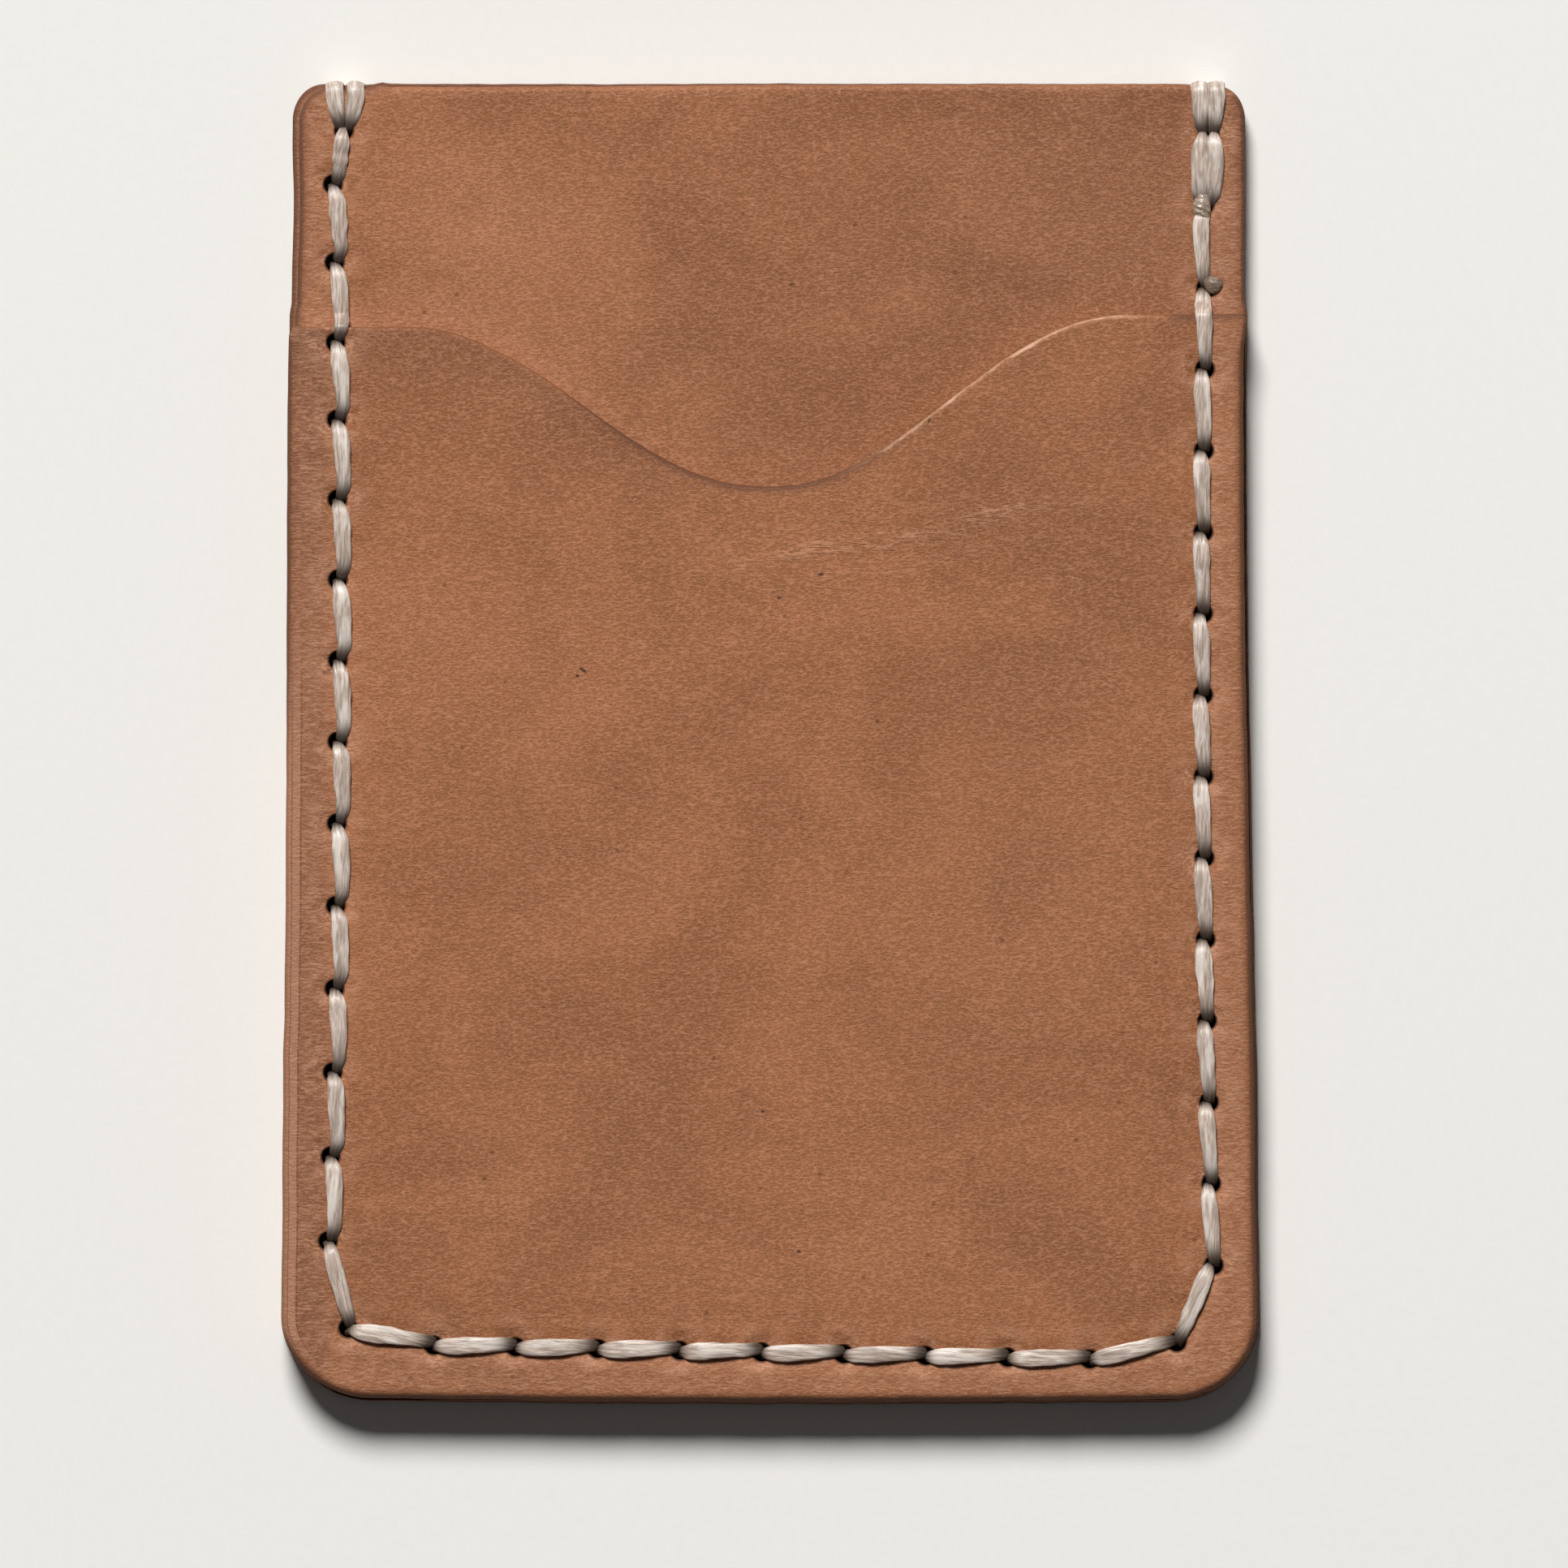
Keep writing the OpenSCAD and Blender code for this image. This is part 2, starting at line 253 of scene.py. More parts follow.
def stitched_relief(p):
    """The leather drawn down at each hole, pressed under the stitches and puffed up beside them."""
    hole, seam = to_holes(p), to_seam(p)
    relief = -0.24 * bell(hole, 0.95) - 0.09 * bell(seam, 0.8)
    relief += 0.055 * bell(np.abs(seam) - 1.35, 0.55) * (1 - bell(hole, 1.6))
    relief += 0.06 * bell(hole - 1.6, 0.5) * (0.5 + 0.6 * waves(p, 0.9, 5))
    return relief


def front_relief(p):
    seam = to_seam(p)
    relief = stitched_relief(p)
    relief += 0.09 * smooth(0.8, 3.5, seam) * (1 - smooth(3.5, 12, seam))
    relief += 0.05 * waves(p, 22, 1) * smooth(1, 8, seam) + 0.012 * waves(p, 4.5, 2)
    relief += 0.005 * waves(p * [1, 1.8], 1.3, 3)
    return relief + 0.03 * creases(p)


def mouth_lift(p):
    """The pocket's lip bows off the panel behind it where the dip is deepest."""
    below = mouth_y(p[:, 0]) - p[:, 1]
    return 0.2 * bell(p[:, 0] - 3, 12) * bell(np.maximum(below, 0), 7)


def pocket_top(p):
    return front_relief(p) + mouth_lift(p)


def pocket_under(p):
    return mouth_lift(p)


def middle_relief(p):
    x, y = p[:, 0], p[:, 1]
    shown = smooth(-1.2, 0.3, y - mouth_y(x))
    relief = stitched_relief(p) + 0.05 * waves(p, 18, 11) + 0.012 * waves(p, 4, 12)
    relief += 0.004 * waves(p * [1, 1.6], 1.2, 13)
    left_wraps = 0.16 * bell(x + 27.9, 0.9) * smooth(43.5, 46, y)
    return shown * (relief + left_wraps)


def back_relief(p):
    """The groove that the stitches behind lie in, and a slightly uneven face."""
    seam = np.abs(to_seam(p))
    lanes = np.full(len(p), 1e9)
    for a, b, half in [
        (HOLES[0], HOLES[0] + [0, 5], 0.75),
        (HOLES[LAST], HOLES[LAST] + [0, 5], 0.62),
        (HOLES[LAST - 2], HOLES[LAST], 0.62),
    ]:
        lanes = np.minimum(lanes, to_segment(p, a, b) - half)
    groove = 1 - smooth(0.62, 0.95, np.minimum(seam, lanes))
    flat = 0.006 * waves(p, 6, 21) * smooth(0.95, 2.2, np.minimum(seam, lanes))
    return GROOVE_DEPTH * groove + np.abs(flat) + 0.1 * bell(to_holes(p), 0.9)


# ---- Outlines ----

OUTLINE_STEP = 0.32


def arc(centre, radius, start, end):
    count = max(3, int(abs(end - start) * math.pi / 180 * radius / OUTLINE_STEP) + 1)
    angles = np.radians(np.linspace(start, end, count))
    return np.stack([centre[0] + radius * np.cos(angles), centre[1] + radius * np.sin(angles)], 1)


def joined(parts):
    """The parts in order as one closed loop, with even steps along its straight stretches."""
    corners = np.concatenate(parts)
    loop = []
    for a, b in zip(corners, np.roll(corners, -1, axis=0)):
        gap = np.linalg.norm(b - a)
        if gap < 1e-6:
            continue
        count = max(1, int(round(gap / OUTLINE_STEP)))
        loop += [a + (b - a) * k / count for k in range(count)]
    return np.array(loop)


def outward(loop):
    ahead = np.roll(loop, -1, axis=0) - np.roll(loop, 1, axis=0)
    ahead /= np.linalg.norm(ahead, axis=1)[:, None]
    return np.stack([ahead[:, 1], -ahead[:, 0]], 1)


def handmade(loop, seed, narrow_above, set_back):
    """The loop with the slight unevenness of an edge cut and sanded by hand. Along the bottom and
    the right it is set back, so that the layers under it show."""
    x, y = loop[:, 0], loop[:, 1]
    normal = outward(loop)
    sideways, up = np.abs(normal[:, 0]), normal[:, 1]
    push = 0.02 * waves(loop, 14, 31) + 0.014 * waves(loop, 5, 32) + 0.01 * waves(loop, 2.4, seed)
    push += sideways * smooth(-20, -30, x) * (0.22 * bell(y - 21, 17) + 0.2 * smooth(38, 44, y))
    push -= sideways * smooth(20, 30, x) * 0.36 * bell(y - 12, 28)
    push -= np.clip(-up, 0, 1) * smooth(-40, -46, y) * (0.06 + 0.25 * ((x - 3) / 31.7) ** 2)
    layered = np.maximum(np.clip(-up, 0, 1) * smooth(-40, -46, y), sideways * smooth(20, 30, x))
    push -= set_back * layered * (1 - smooth(28, 31, y))
    if narrow_above is not None:
        push -= 0.13 * sideways * smooth(narrow_above, narrow_above + 1.0, y)
        dents = bell(x - HOLES[LAST][0], 1.3) + bell(x - HOLES[0][0], 1.4)
        push += np.clip(up, 0, 1) * smooth(45, 47, y) * (0.13 - 0.12 * dents + 0.12 * bell(x + 28.1, 0.36))
    return loop + push[:, None] * normal


CORNER_X = BOTTOM_W / 2 - BOTTOM_R
RIGHT_CORNER = arc((CORNER_X, LOW_Y + BOTTOM_R), BOTTOM_R, -90, 0)
LEFT_CORNER = arc((-CORNER_X, LOW_Y + BOTTOM_R), BOTTOM_R, 180, 270)


def full_outline(set_in, seed, set_back=0.0):
    half_t = TOP_W / 2
    loop = joined([
        RIGHT_CORNER,
        arc((half_t - TOP_R, TOP_Y - TOP_R), TOP_R, 0, 90),
        arc((TOP_R - half_t + set_in, TOP_Y - TOP_R - set_in / 2), TOP_R, 90, 180),
        LEFT_CORNER,
    ])
    return handmade(loop, seed, RIGHT_SHOULDER_Y, set_back)


def side_x(y):
    """Half the width of a full-size panel."""
    low, high = LOW_Y + BOTTOM_R, TOP_Y - TOP_R
    return BOTTOM_W / 2 + (TOP_W - BOTTOM_W) / 2 * (y - low) / (high - low)


def pocket_outline(seed):
    r = SHOULDER_R
    right, left = side_x(RIGHT_SHOULDER_Y - r), side_x(LEFT_SHOULDER_Y - r)
    x = np.arange(right - r, r - left, -OUTLINE_STEP)[1:]
    loop = joined([
        RIGHT_CORNER,
        arc((right - r, RIGHT_SHOULDER_Y - r), r, 0, 90),
        np.stack([x, mouth_y(x)], 1),
        arc((r - left, LEFT_SHOULDER_Y - r), r, 90, 180),
        LEFT_CORNER,
    ])
    return handmade(loop, seed, None, 0.26)


# ---- Meshes ----


def make_mesh(name, points, faces, fields=None, vectors=None):
    """A smooth mesh from millimetre points, with named values at its points."""
    mesh = bpy.data.meshes.new(name)
    mesh.from_pydata([tuple(p) for p in np.asarray(points) * MM], [], faces)
    for key, values in (fields or {}).items():
        mesh.attributes.new(key, "FLOAT", "POINT").data.foreach_set("value", np.asarray(values, np.float32))
    for key, values in (vectors or {}).items():
        made = mesh.attributes.new(key, "FLOAT_VECTOR", "POINT")
        made.data.foreach_set("vector", np.asarray(values, np.float32).ravel())
    mesh.validate()
    work = bmesh.new()
    work.from_mesh(mesh)
    bmesh.ops.recalc_face_normals(work, faces=work.faces)
    work.to_mesh(mesh)
    work.free()
    mesh.polygons.foreach_set("use_smooth", [True] * len(mesh.polygons))
    mesh.update()
    piece = bpy.data.objects.new(name, mesh)
    bpy.context.scene.collection.objects.link(piece)
    return piece


def inside(points, loop):
    """Which points lie inside the closed loop."""
    x, y = points[:, 0][:, None], points[:, 1][:, None]
    x0, y0 = loop[:, 0], loop[:, 1]
    x1, y1 = np.roll(x0, -1), np.roll(y0, -1)
    with np.errstate(divide="ignore", invalid="ignore"):
        crosses = ((y0 > y) != (y1 > y)) & (x < (x1 - x0) * (y - y0) / (y1 - y0) + x0)
    return crosses.sum(1) % 2 == 1


def hex_grid(low, high, step):
    rows = []
    for j, y in enumerate(np.arange(low[1], high[1], step * 0.866)):
        x = np.arange(low[0] + step / 2 * (j % 2), high[0], step)
        rows.append(np.stack([x, np.full(len(x), y)], 1))
    return np.concatenate(rows)


SEGMENTS = 26
TURNS = np.linspace(0, 2 * math.pi, SEGMENTS, endpoint=False)
CIRCLE = np.stack([np.cos(TURNS), np.sin(TURNS)], 1)


def cap(edge_loop, coarse, fine, finely, rings):
    """Triangles over a face. Returns its points, its triangles and the size of the edge loop. The
    points start with the edge loop, and one circle round each hole follows."""
    held = [h for h in OPEN_HOLES if inside(h[None], edge_loop)[0]]
    holes = [h + HOLE_FACE_R * CIRCLE for h in held]
    lead = np.concatenate([edge_loop] + holes)
    extra = np.concatenate([h + r * CIRCLE for h in held for r in rings])
    own = np.concatenate([np.full(SEGMENTS, r) for _ in held for r in rings])
    extra = extra[inside(extra, edge_loop) & (to_holes(extra) > own - 1e-6)]
    extra = extra[to_outline(extra, edge_loop) > 0.2]
    fill = hex_grid(edge_loop.min(0), edge_loop.max(0), coarse)
    if finely is not None:
        fill = fill[~finely(fill)]
        dense = hex_grid(edge_loop.min(0), edge_loop.max(0), fine)
        fill = np.concatenate([fill, dense[finely(dense)]])
    fill = fill[inside(fill, edge_loop)]
    fill = fill[to_outline(fill, edge_loop) > 0.22]
    fill = fill[to_holes(fill) > rings[-1] + 0.14]
    points = np.concatenate([lead, extra, fill])
    n = len(edge_loop)
    edges = [(k, (k + 1) % n) for k in range(n)]
    for h in range(len(held)):
        first = n + h * SEGMENTS
        edges += [(first + k, first + (k + 1) % SEGMENTS) for k in range(SEGMENTS)]
    _, _, tris, origin, _, _ = delaunay_2d_cdt([Vector(p) for p in points], edges, [], 0, 1e-6, True)
    index = np.array([o[0] if o else -1 for o in origin])
    tris = index[np.array([t for t in tris if len(t) == 3])]
    tris = tris[(tris >= 0).all(1)]
    p = points
    area = np.cross(p[tris[:, 1]] - p[tris[:, 0]], p[tris[:, 2]] - p[tris[:, 0]])
    tris[area < 0] = tris[area < 0][:, ::-1]
    centre = p[tris].mean(1)
    on_edge = (tris < n).all(1)
    drop = np.zeros(len(tris), bool)
    drop[on_edge] = ~inside(centre[on_edge], edge_loop)
    circle = np.where((tris >= n) & (tris < len(lead)), (tris - n) // SEGMENTS, -1)
    drop |= (circle[:, 0] >= 0) & (circle[:, 0] == circle[:, 1]) & (circle[:, 1] == circle[:, 2])
    return points, tris[~drop], n


def plain(p):
    return np.zeros(len(p))


def panel(
    name, loop, low, high, top_w, top_h, under_w, under_h,
    top_relief, under_relief, detail, tone=plain, lip=plain, soft=plain,
):
    """A closed panel of leather between two levels, with rounded edges and holes.

    top_w, top_h, under_w and under_h give each outline point its rounding, across and down.
    detail is (coarse, fine, where fine) for the top and for the underside. tone gives each point
    its shade, below 0 for darker and above 0 for paler, lip is 1 where the cut edge is raw and
    pale, and soft is 1 where the edge isn't burnished dark."""
    normal = outward(loop)
    steps = np.radians([0, 18, 36, 54, 72, 90])
    points, faces, wall_share = [], [], []
    count = 0

    def add(xy, z, wall):
        nonlocal count
        points.append(np.column_stack([xy, z]))
        wall_share.append(np.broadcast_to(wall, len(xy)).astype(float))
        count += len(xy)
        return count - len(xy)

    def bridge(pairs, size):
        for a, b in pairs:
            for k in range(size):
                m = (k + 1) % size
                faces.append((a + k, b + k, b + m, a + m))

    def edge_row(a, face, relief, w, h):
        xy = loop - (w * (1 - math.sin(a)))[:, None] * normal
        return add(xy, face + relief(xy) + h * (1 - math.cos(a)), math.sin(a))

    def lip_row(a, centre, face, relief, h):
        xy = centre + (HOLE_R + LIP_R * (1 - math.sin(a))) * CIRCLE
        return add(xy, face + relief(xy) + h * (1 - math.cos(a)), 0.6 + 0.4 * math.sin(a))

    top_edge = loop - top_w[:, None] * normal
    under_edge = loop - under_w[:, None] * normal
    top_rings = [HOLE_FACE_R + d for d in (0.1, 0.24, 0.42, 0.64, 0.9, 1.2)]
    top_points, top_tris, n = cap(top_edge, *detail[0], top_rings)
    under_points, under_tris, _ = cap(under_edge, *detail[1], top_rings[::2])

    first_top = add(top_points, high + top_relief(top_points), 0)
    faces += [tuple(first_top + t) for t in top_tris]
    first_under = add(under_points, low + under_relief(under_points), 0)
    faces += [tuple(first_under + t[::-1]) for t in under_tris]

    # The edge, from the top face round to the underside
    rows = [first_top] + [edge_row(a, high, top_relief, top_w, -top_h) for a in steps[1:]]
    for share in (0.35, 0.65):
        z_top = high + top_relief(loop) - top_h
        z_low = low + under_relief(loop) + under_h
        bulge = 0.02 * math.sin(math.pi * share)
        rows.append(add(loop + bulge * normal, z_top + (z_low - z_top) * share, 1))
    rows += [edge_row(a, low, under_relief, under_w, under_h) for a in steps[:0:-1]]
    rows.append(first_under)
    bridge(zip(rows, rows[1:]), n)

    # The holes, each with a soft lip at both ends
    lips = np.radians([30, 60, 90])
    centres = [h for h in OPEN_HOLES if inside(h[None], top_edge)[0]]
    for k, h in enumerate(centres):
        lead = n + k * SEGMENTS
        rows = [first_top + lead] + [lip_row(a, h, high, top_relief, -LIP_R) for a in lips]
        xy = h + HOLE_R * CIRCLE
        top_z, low_z = high + top_relief(xy) - LIP_R, low + under_relief(xy) + LIP_R
        rows.append(add(xy, (top_z + low_z) / 2, 1))
        rows += [lip_row(a, h, low, under_relief, LIP_R) for a in lips[::-1]]
        rows.append(first_under + lead)
        bridge(zip(rows[1:], rows), SEGMENTS)

    points = np.concatenate(points)
    flat = points[:, :2]
    x, y = flat[:, 0], flat[:, 1]
    fields = {
        "wall": np.concatenate(wall_share),
        "edge": to_outline(flat, loop),
        "tone": tone(flat),
        "crease": creases(flat),
        "low_left": smooth(-30, -33, x) * smooth(12, -4, y) * smooth(-45, -42, y),
        "lip": lip(flat),
        "soft": soft(flat),
        "hole": to_holes(flat),
        "seam": to_seam(flat),
    }
    return make_mesh(name, points, faces, fields)


# ---- The thread ----


def slot(i, angle):
    a = math.radians(angle)
    return HOLES[i] + SLOT_R * (math.cos(a) * travel(i) + math.sin(a) * inward(i))


def level(i):
    return MIDDLE_TOP if HOLES[i][1] > mouth_y(HOLES[i][0]) else FRONT_TOP


# dark is how dark the thread is painted: painted shade in and near the holes, with a little dirt
def ring(p, z, side, half_w, half_t, dark=1.0):
    return (np.array([p[0], p[1], z]), np.array([side[0], side[1], 0.0]), half_w, half_t, dark)


def passing(i, angle, turn=180):
    """From the front of a hole to its back, turning about the other thread in it."""
    high, low = level(i) - 0.75, GROOVE_DEPTH + 0.35
    return [
        ring(slot(i, angle + turn * t), high + (low - high) * t, inward(i), 0.27, 0.27)
        for t in (0, 0.25, 0.5, 0.75, 1)
    ]


# The two ends of a stitch in front: the distance from the hole's middle, the height over the
# leather, half the width, half the thickness and how dark it is painted, as painted shade with a
# little dirt. The high end starts full and bright beside the hole, and the low end sinks into
# painted shade over a longer way.
HIGH_END = [
    (0.18, -0.42, 0.36, 0.25, 0.9), (0.45, -0.08, 0.48, 0.23, 0.45), (0.8, 0.12, 0.56, 0.21, 0.1),
    (1.35, 0.22, 0.61, 0.2, 0),
]
LOW_END = [
    (0.1, -0.52, 0.4, 0.25, 1), (0.42, -0.24, 0.46, 0.23, 0.9), (0.9, -0.01, 0.49, 0.21, 0.58),
    (1.5, 0.13, 0.52, 0.2, 0.24), (2.1, 0.21, 0.55, 0.2, 0.05),
]
# The same where it comes out from under a stitch that is wrapped round the top edge
END_START = [
    (-0.2, -0.42, 0.22, 0.2, 0.8), (0.1, 0.0, 0.36, 0.2, 0.4), (0.5, 0.26, 0.5, 0.2, 0.1),
    (1.1, 0.3, 0.58, 0.2, 0),
]
MIDWAY = (0.26, 0.59, 0.2, 0)
SLANT = 0.17
RUN_STEP = 0.3


def front_run(i, j, lane=0.0, width=1.0):
    """A stitch over the front from hole i to hole j, in a lane to one side of the line."""
    d = unit(HOLES[j] - HOLES[i])
    side = unit(inward(i) + inward(j))
    length = np.linalg.norm(HOLES[j] - HOLES[i])
    falls = d[1] < -0.3 or (abs(d[1]) <= 0.3 and d[0] > 0)
    high_end = HIGH_END
    if min(i, j) == 0 or max(i, j) == LAST:
        high_end = END_START
    first, second = (high_end, LOW_END) if falls else (LOW_END, high_end)
    profile = first + [(length * 0.52, *MIDWAY)] + [(length - end[0], *end[1:]) for end in second[::-1]]
    profile = np.array([entry for entry in profile if entry[0] >= profile[0][0]])
    profile = profile[np.argsort(profile[:, 0])]
    kept = np.concatenate([[True], np.diff(profile[:, 0]) > 0.12])
    keys = profile[kept, 0]
    at = np.linspace(keys[0], keys[-1], int((keys[-1] - keys[0]) / RUN_STEP) + 2)
    shape = spline(keys, profile[kept, 1:], at)
    edge = (float(mouth_y(HOLES[i][0])) - HOLES[i][1]) / d[1] if level(i) != level(j) else None
    rises = level(j) > level(i)
    rings = []
    for s, (lift, half_w, half_t, dark) in zip(at, shape):
        near = min(s, length - s)
        spread = float(smooth(0, 1.3, near))
        slant = 0.0 if lane else SLANT * (2 * s / length - 1)
        pulled_in = THREAD_IN[min(i, j)] * float(smooth(0.1, 1.3, near))
        offset = lane * (0.78 + 0.22 * spread) + slant + pulled_in
        p = HOLES[i] + s * d + offset * side
        base = level(i)
        if edge is not None:
            share = float(smooth(edge - 0.9, edge, s) if rises else smooth(edge, edge + 0.9, s))
            base += (level(j) - level(i)) * share
        rings.append(ring(p, base + lift, side, half_w * width, half_t, float(np.clip(dark, 0, 1))))
    return rings


def back_run(i, j, lane=0.0):
    """A stitch over the back from hole i to hole j, flush in its groove."""
    d = unit(HOLES[j] - HOLES[i])
    side = unit(inward(min(i, j)) + inward(max(i, j)))
    length = np.linalg.norm(HOLES[j] - HOLES[i])
    rings = []
    # each a distance along, a lift, half the width and how dark it is painted: painted shade by the holes,
    # with a little dirt
    for s, lift, half_w, dark in (
        (0.55, 0.3, 0.4, 0.8), (0.95, 0.06, 0.5, 0.4), (1.4, 0, 0.56, 0.1), (length / 2, 0, 0.57, 0),
        (length - 1.4, 0, 0.55, 0.1), (length - 0.95, 0.06, 0.5, 0.4), (length - 0.55, 0.3, 0.4, 0.8),
    ):
        near = min(s, length - s)
        pull = 0.55 + 0.45 * float(smooth(0, 1.3, near))
        p = HOLES[i] + s * d + lane * pull * side
        rings.append(ring(p, BACK_RUN_Z + lift, side, half_w, 0.205, dark))
    return rings


def wrap(i, lane, full_w, pinch):
    """Over the top edge, from the front of hole i to its back. pinch is the share of the lane
    that is left where the thread goes into the hole."""
    side = unit(np.array([inward(i)[0], 0]))
    x0, y0 = HOLES[i]
    top = MIDDLE_TOP
    edge = TOP_Y - 0.02
    straight = edge - 0.75 - y0
    rings = []

    def add(s, z, w, spread, half_t, dark):
        x = x0 + lane * (pinch + (1 - pinch) * spread) * side[0]
        rings.append(ring((x, y0 + s), z, side, full_w * w, half_t, dark))

    # the last value is how dark it is painted: painted shade where it goes into the hole, with a little
    # dirt
    for s, lift, w, spread, dark in (
        (0.08, -0.42, 0.66, 0, 1), (0.42, -0.16, 0.71, 0.12, 0.95), (0.9, 0.05, 0.78, 0.36, 0.65),
        (1.6, 0.17, 0.92, 0.72, 0.2), (straight, 0.2, 1, 1, 0),
    ):
        add(s, top + lift, w, spread, 0.2, dark)
    for s, z, half_t in (
        (edge - 0.36, top + 0.16, 0.22), (edge - 0.1, top, 0.27), (edge + 0.05, top - 0.36, 0.28),
        (edge + 0.06, 1.5, 0.28),
        (edge + 0.05, 0.8, 0.27), (edge - 0.08, 0.4, 0.24), (edge - 0.36, 0.26, 0.21),
    ):
        add(s - y0, z, 1, 1, half_t, 0)
    # the last value is painted shade by the hole, with a little dirt
    for s, lift, w, spread, dark in (
        (straight, 0, 1, 1, 0), (1.6, 0, 0.92, 0.72, 0.1), (1.0, 0.05, 0.82, 0.36, 0.5),
        (0.55, 0.3, 0.62, 0.1, 0.9),
    ):
        add(s, BACK_RUN_Z + lift, w, spread, 0.2, dark)
    return rings


# On the left the thread lies a little inside the line of the holes, and one stitch near the top
# right is pushed aside by a melted end
THREAD_IN = np.array([0.22 if 0 < i <= 13 else 0.0 for i in range(LAST + 1)])
THREAD_IN[LAST - 2] = 0.28
DOWN, UP = 118, 298


def seam_route(front_first):
    rings = []
    for i in range(LAST):
        in_front = (i % 2 == 0) == front_first
        if not in_front:
            rings += back_run(i, i + 1, -DOUBLE_LANE if i >= LAST - 2 else 0.0)
        elif i == LAST - 1:
            rings += front_run(i, i + 1, -DOUBLE_FRONT, DOUBLE_WIDTH)
        else:
            rings += front_run(i, i + 1)
        if i + 1 < LAST:
            rings += passing(i + 1, DOWN) if in_front else passing(i + 1, UP)[::-1]
    return rings


def route_a():
    """Up from inside the first hole, over the top edge, along the seam, over the edge again and
    one stitch back in front."""
    return (
        passing(0, 240, -120)[:3][::-1]
        + wrap(0, -0.74, 0.66, 0.5)
        + passing(0, 0, -120)[::-1]
        + seam_route(True)
        + passing(LAST, 45)[::-1]
        + wrap(LAST, DOUBLE_LANE, 0.62, 0.72)
        + passing(LAST, 135, -90)[::-1]
        + front_run(LAST, LAST - 1, DOUBLE_FRONT, DOUBLE_WIDTH)[:-1]
    )


def route_b():
    """Down from inside the first hole, over the top edge, along the seam, over the edge again and
    two stitches back behind, to end in front."""
    past = HOLES[LAST - 1] + 0.85 * inward(LAST - 1)
    tail = back_run(LAST, LAST - 1, DOUBLE_LANE)[:-2]
    tail += [ring(past, BACK_RUN_Z, inward(LAST - 1), 0.36, 0.2)]
    tail += back_run(LAST - 1, LAST - 2, DOUBLE_LANE)[2:]
    return (
        passing(0, 240, -120)[2:]
        + wrap(0, 0.74, 0.66, 0.5)[::-1]
        + passing(0, 120, -120)
        + seam_route(False)
        + passing(LAST, 225, 90)
        + wrap(LAST, -DOUBLE_LANE, 0.62, 0.72)[::-1]
        + passing(LAST, 315)
        + tail
        + passing(LAST - 2, 240)[::-1]
    )


def spline(keys, values, at):
    """Smooth interpolation with slopes taken from the neighbours."""
    values = np.asarray(values, float)
    if values.ndim == 1:
        values = values[:, None]
    slopes = np.empty_like(values)
    gaps = np.diff(keys)[:, None]
    rates = np.diff(values, axis=0) / gaps
    slopes[1:-1] = (rates[:-1] * gaps[1:] + rates[1:] * gaps[:-1]) / (gaps[:-1] + gaps[1:])
    slopes[0], slopes[-1] = rates[0], rates[-1]
    k = np.clip(np.searchsorted(keys, at, side="right") - 1, 0, len(keys) - 2)
    h = (keys[k + 1] - keys[k])[:, None]
    t = ((at - keys[k])[:, None]) / h
    h00, h10 = 2 * t**3 - 3 * t**2 + 1, t**3 - 2 * t**2 + t
    h01, h11 = -2 * t**3 + 3 * t**2, t**3 - t**2
    return h00 * values[k] + h10 * h * slopes[k] + h01 * values[k + 1] + h11 * h * slopes[k + 1]


STRAND_SIDES = 30


